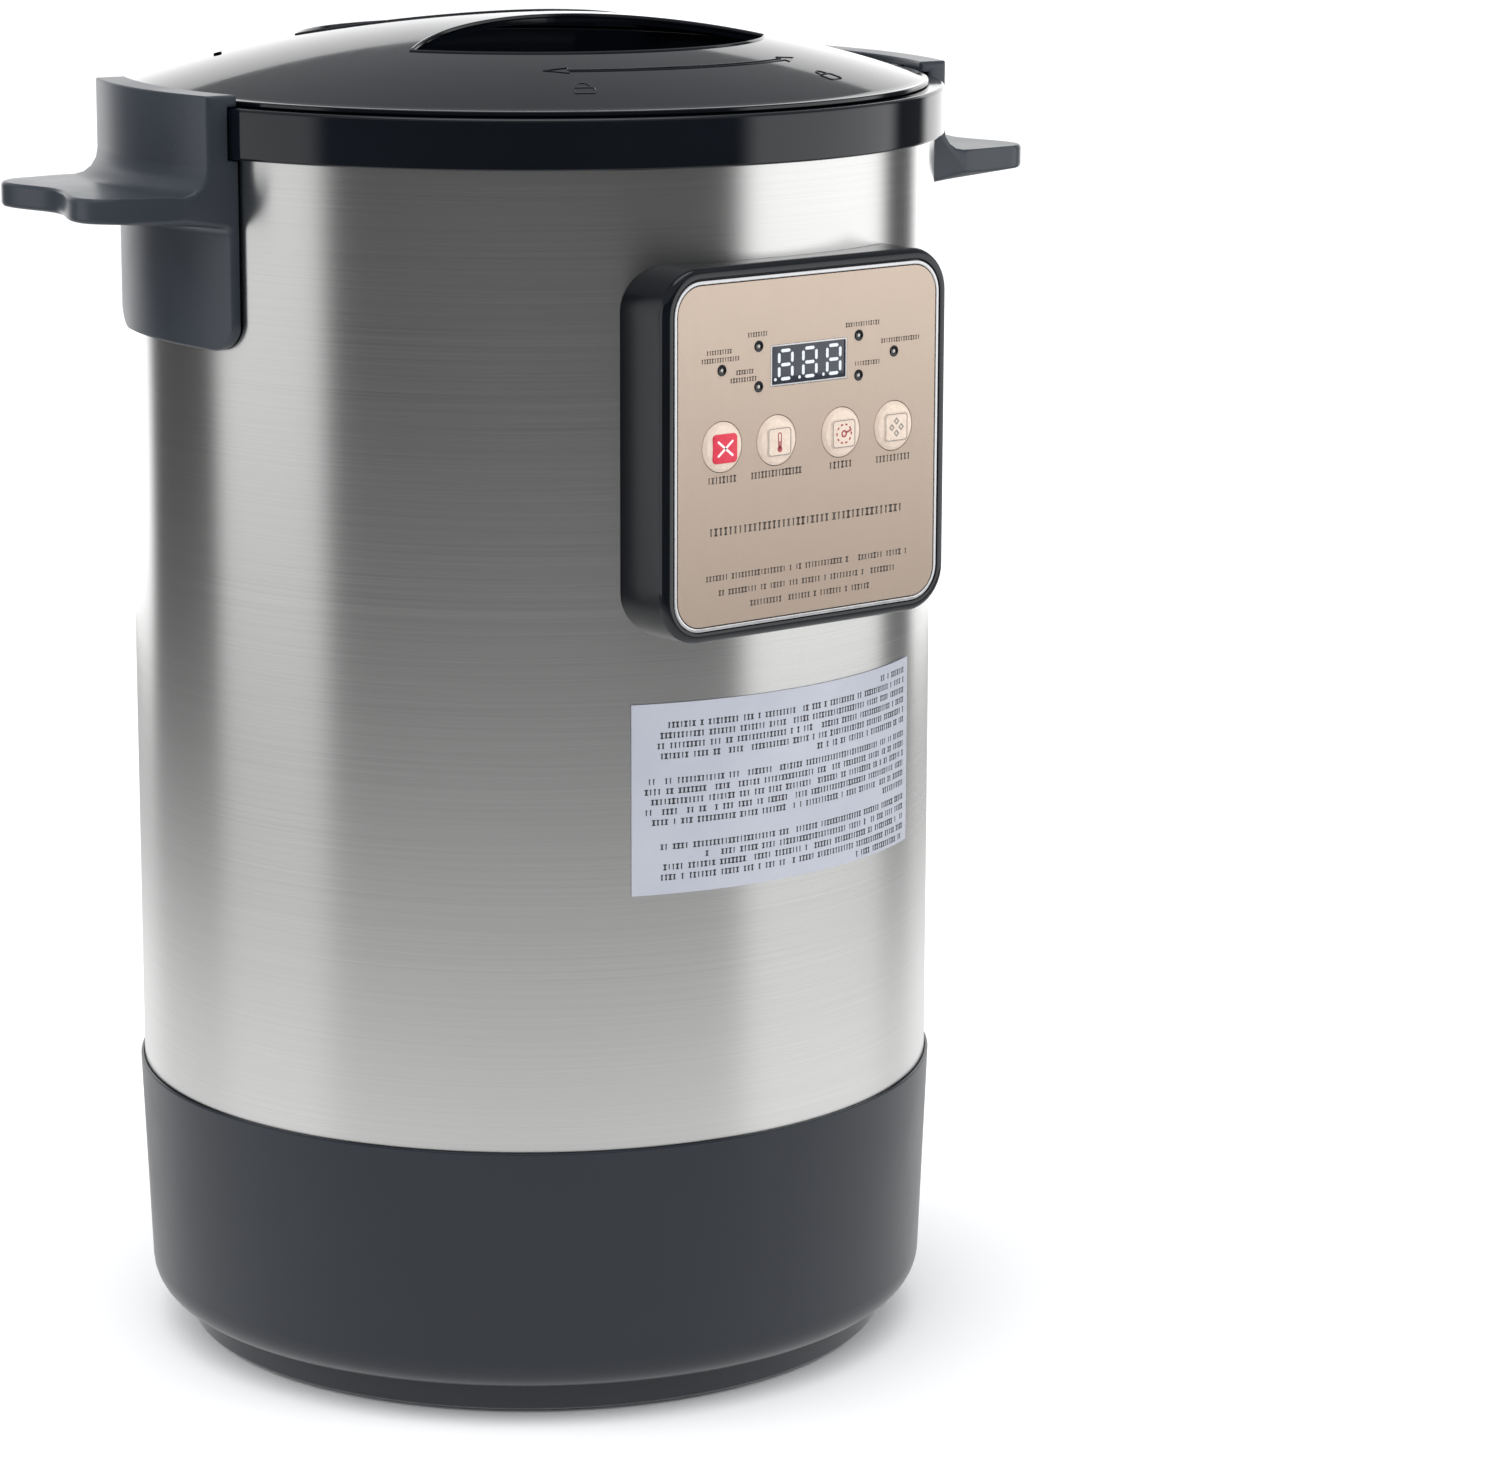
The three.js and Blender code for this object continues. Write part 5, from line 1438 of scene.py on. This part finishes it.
def make_lid():
    wall = 2.5
    inner = 119.5
    profile = [(inner, RIM_TOP + 0.3, 0.3), (LID_EDGE, RIM_TOP + 0.3, 0.3), (LID_EDGE, DOME_FOOT, 0.4)]
    profile += [(DOME + 0.15, DOME_FOOT, 0)]
    steps = 60
    top = [DOME * (1 - step / steps) for step in range(steps + 1)]
    profile += [(r, dome_height(r), 0) for r in top]
    profile += [(r, dome_height(r) - wall, 0) for r in top[::-1] if r < inner]
    dome = turned(rounded(profile, steps=4, support=0.1), FINE_FACETS)
    opening = hand_opening()
    for turn in (0, math.pi):
        cutter = flat_shape([opening], 60)
        cutter = moved(cutter, turned_about(LID_TURN + turn) @ shifted(0, 0, DOME_TOP))
        dome = carved(dome, cutter)
    vent = flat_shape([rounded_rectangle(2.6, 14, 1.2)], 30)
    vent_turn = math.radians(-123.4 - 90)
    dome = carved(dome, moved(vent, turned_about(vent_turn) @ shifted(100, 0, DOME_TOP)))
    lugs = []
    for turn in (0, math.pi):
        lug = block((LID_EDGE - 3, -8, RIM_TOP + 0.4), (RIM - 0.6, 8, RIM_TOP + 1.9), 0.35)
        lugs.append(moved(lug, turned_about(LID_TURN + turn + math.radians(-7.5))))
    piece("lid_dome", joined(dome, *lugs), GLOSS_BLACK, "lid_cover", body="lid", sharp=24)

    lines = []
    for turn in (0, math.pi):
        line = []
        for spot in [*opening, opening[0]]:
            flat = Matrix.Rotation(LID_TURN + turn, 2) @ spot
            line.append((flat.x, flat.y, dome_height(flat.length) - 0.25))
        lines.append(line)
    piece("opening_lips", bead(lines, 0.75), GLOSS_BLACK, body="lid")
    make_dome_marks()
    make_well()


def make_dome_marks():
    """A raised double arrow with an open and a closed padlock at its ends."""
    first, last, r = -35, 25, 93
    head, half, spread = 4.6, 0.8, 2.4
    lines = []
    side = [on_dome(first + head + (last - first - 2 * head) * i / 40, r + half) for i in range(41)]
    other = [on_dome(first + head + (last - first - 2 * head) * i / 40, r - half) for i in range(41)]
    right_head = [on_dome(last - head, r + spread), on_dome(last, r), on_dome(last - head, r - spread)]
    left_head = [
        on_dome(first + head, r - spread), on_dome(first, r), on_dome(first + head, r + spread),
    ]
    lines.append([*side, *right_head, *other[::-1], *left_head, side[0]])
    for azimuth, opened in ((-29, True), (20, False)):
        lines += padlock(azimuth, 109, opened)
    piece("lock_marks", bead(lines, 0.28), GLOSS_BLACK, body="lid")


def padlock(azimuth, r, opened):
    """A padlock's outline on the dome: its body and its shackle."""

    def spot(x, y):
        return on_dome(azimuth + math.degrees(x / r), r - y)

    body = [spot(p.x, p.y - 1.6) for p in rounded_rectangle(6.4, 4.6, 0.8, 3)]
    lift = 0.9 if opened else 0
    shackle = [spot(-2, 0.7), spot(-2, 1.6 + lift)]
    for step in range(1, 8):
        angle = math.pi * (1 - step / 8)
        shackle.append(spot(2 * math.cos(angle), 1.6 + lift + 2 * math.sin(angle)))
    shackle.append(spot(2, 1.6 + lift))
    if not opened:
        shackle.append(spot(2, 0.7))
    return [[*body, body[0]], shackle]


def make_well():
    floor = well_low.z + 2
    inner, wall = HAND_RADIUS + 1, 2
    outer = inner + wall
    flange = outer + 19
    flange_top = dome_height(flange) - 3
    top = dome_height(outer) - 2.8
    bowl = rounded([
        (0, floor + 4, 0), (9, floor + 4, 1), (11, floor, 2), (inner, floor, 10), (inner, top, 0.4),
        (outer, top, 0.4), (outer, flange_top, 0.4), (flange, flange_top, 0.4),
        (flange, flange_top - wall, 0.4), (outer, flange_top - wall, 0.4),
        (outer, floor - wall, 11), (0, floor - wall, 0),
    ], steps=7)
    piece("hand_well", turned(bowl, 160), GLOSS_BLACK, "grip_well", body="lid")


HOLE_CIRCLE = 60  # the radius on which the inner lid's vent holes lie


def make_inner_lid():
    top = RIM_TOP - 10.2
    bottom = top - 1
    flange = plate_high.z
    edge, wall = plate_high.x, 107
    dish = rounded([
        (0, bottom, 0), (wall, bottom, 3), (wall, flange - 1, 0.6), (edge, flange - 1, 0.3),
        (edge, flange, 0.3), (wall - 1, flange, 0.6), (wall - 1, top, 2.4), (0, top, 0),
    ], steps=5)
    holes = copies(turned([(0, -4), (2, -4), (2, 4), (0, 4)], 20), [
            ((HOLE_CIRCLE * math.cos(a), HOLE_CIRCLE * math.sin(a), top), UP, 0)
            for a in (LID_TURN + math.pi / 2 * i for i in range(4))
        ])
    plate = carved(turned(dish, 160), holes)
    piece("inner_plate", plate, POT_STEEL, "inner_lid", body="inner_lid")

    low, high = gasket_low.z, gasket_high.z
    under = flange - 1 - 0.3
    outer = gasket_high.x
    gasket = rounded([
        (110.9, low + 0.3, 0.2), (112.5, low, 0.2), (114.5, low + 0.4, 0.2), (116.5, low, 0.2),
        (outer, low, 0.3), (outer, high, 0.25), (outer - 0.6, high, 0.2), (outer - 0.6, under, 0),
        (110.9, under, 0.2),
    ], steps=3, support=0.05)
    piece("lid_gasket_ring", turned(gasket, 128), SILICONE, "lid_gasket", body="inner_lid")


# ------------------------------------------------------------------ screws
SCREW_HEAD = 2.2
SCREW_SPIN = 0.4
HANDLE_SCREW_SPAN = 21.2


def cross_screw(length, head):
    """A pan-head screw with a cross recess. Its head is at the bottom and it points up."""
    outline = rounded([
        (0, -SCREW_HEAD, 0), (head * 0.75, -SCREW_HEAD, 1.0), (head, 0, 0.3), (1.5, 0, 0),
        (1.5, length - 1.5, 0), (0, length, 0),
    ], steps=3, support=0.05)
    body = turned(outline, 24)
    slot = head * 0.5
    first = block((-slot, -0.45, -3), (slot, 0.45, -1.1))
    second = block((-0.45, -slot, -3), (0.45, slot, -1.1))
    return carved(carved(body, first), second)


def make_screws():
    """A set's length comes from its first node's box, but the handles' screws lie askew in theirs."""
    right = (math.cos(LID_TURN), math.sin(LID_TURN), 0)
    left = (-right[0], -right[1], 0)
    four = range(1, 5)
    sets = [
        ("base_screws", "cabinet", 3.5, [(f"base_screw_{i}", UP) for i in four]),
        ("inlet_screws", "cabinet", 3, [(f"inlet_screw_{i}", FRONT) for i in (1, 2)]),
        ("panel_screws", "cabinet", 3.5, [(f"panel_screw_{i}", FRONT) for i in four]),
        (
            "handle_screws", "cabinet", 3.5,
            [
                (f"handle_screw_{side}_{i}", way)
                for side, way in (("right", right), ("left", left))
                for i in (1, 2)
            ],
        ),
        ("lid_screws", "lid", 3.5, [(f"lid_screw_{i}", UP) for i in four]),
        ("pivot_fixing", "lid", 5, [("pivot_screw", UP)]),
    ]
    for name, body, head, nodes in sets:
        low, high = box_mm(nodes[0][0])
        span = abs((high - low).dot(Vector(nodes[0][1])))
        if name == "handle_screws":
            span = HANDLE_SCREW_SPAN
        places = []
        for node, axis in nodes:
            low, high = box_mm(node)
            seat = (low + high) / 2 - Vector(axis) * (span / 2 - SCREW_HEAD)
            places.append((seat, axis, SCREW_SPIN))
        screws = copies(cross_screw(span - SCREW_HEAD, head), places)
        piece(name, screws, ZINC, *[node for node, _ in nodes], body=body)


make_base()
make_inlet()
make_drum()
make_handles()
make_control_box()
make_buttons()
make_notice()
make_lid()
make_inner_lid()
make_screws()
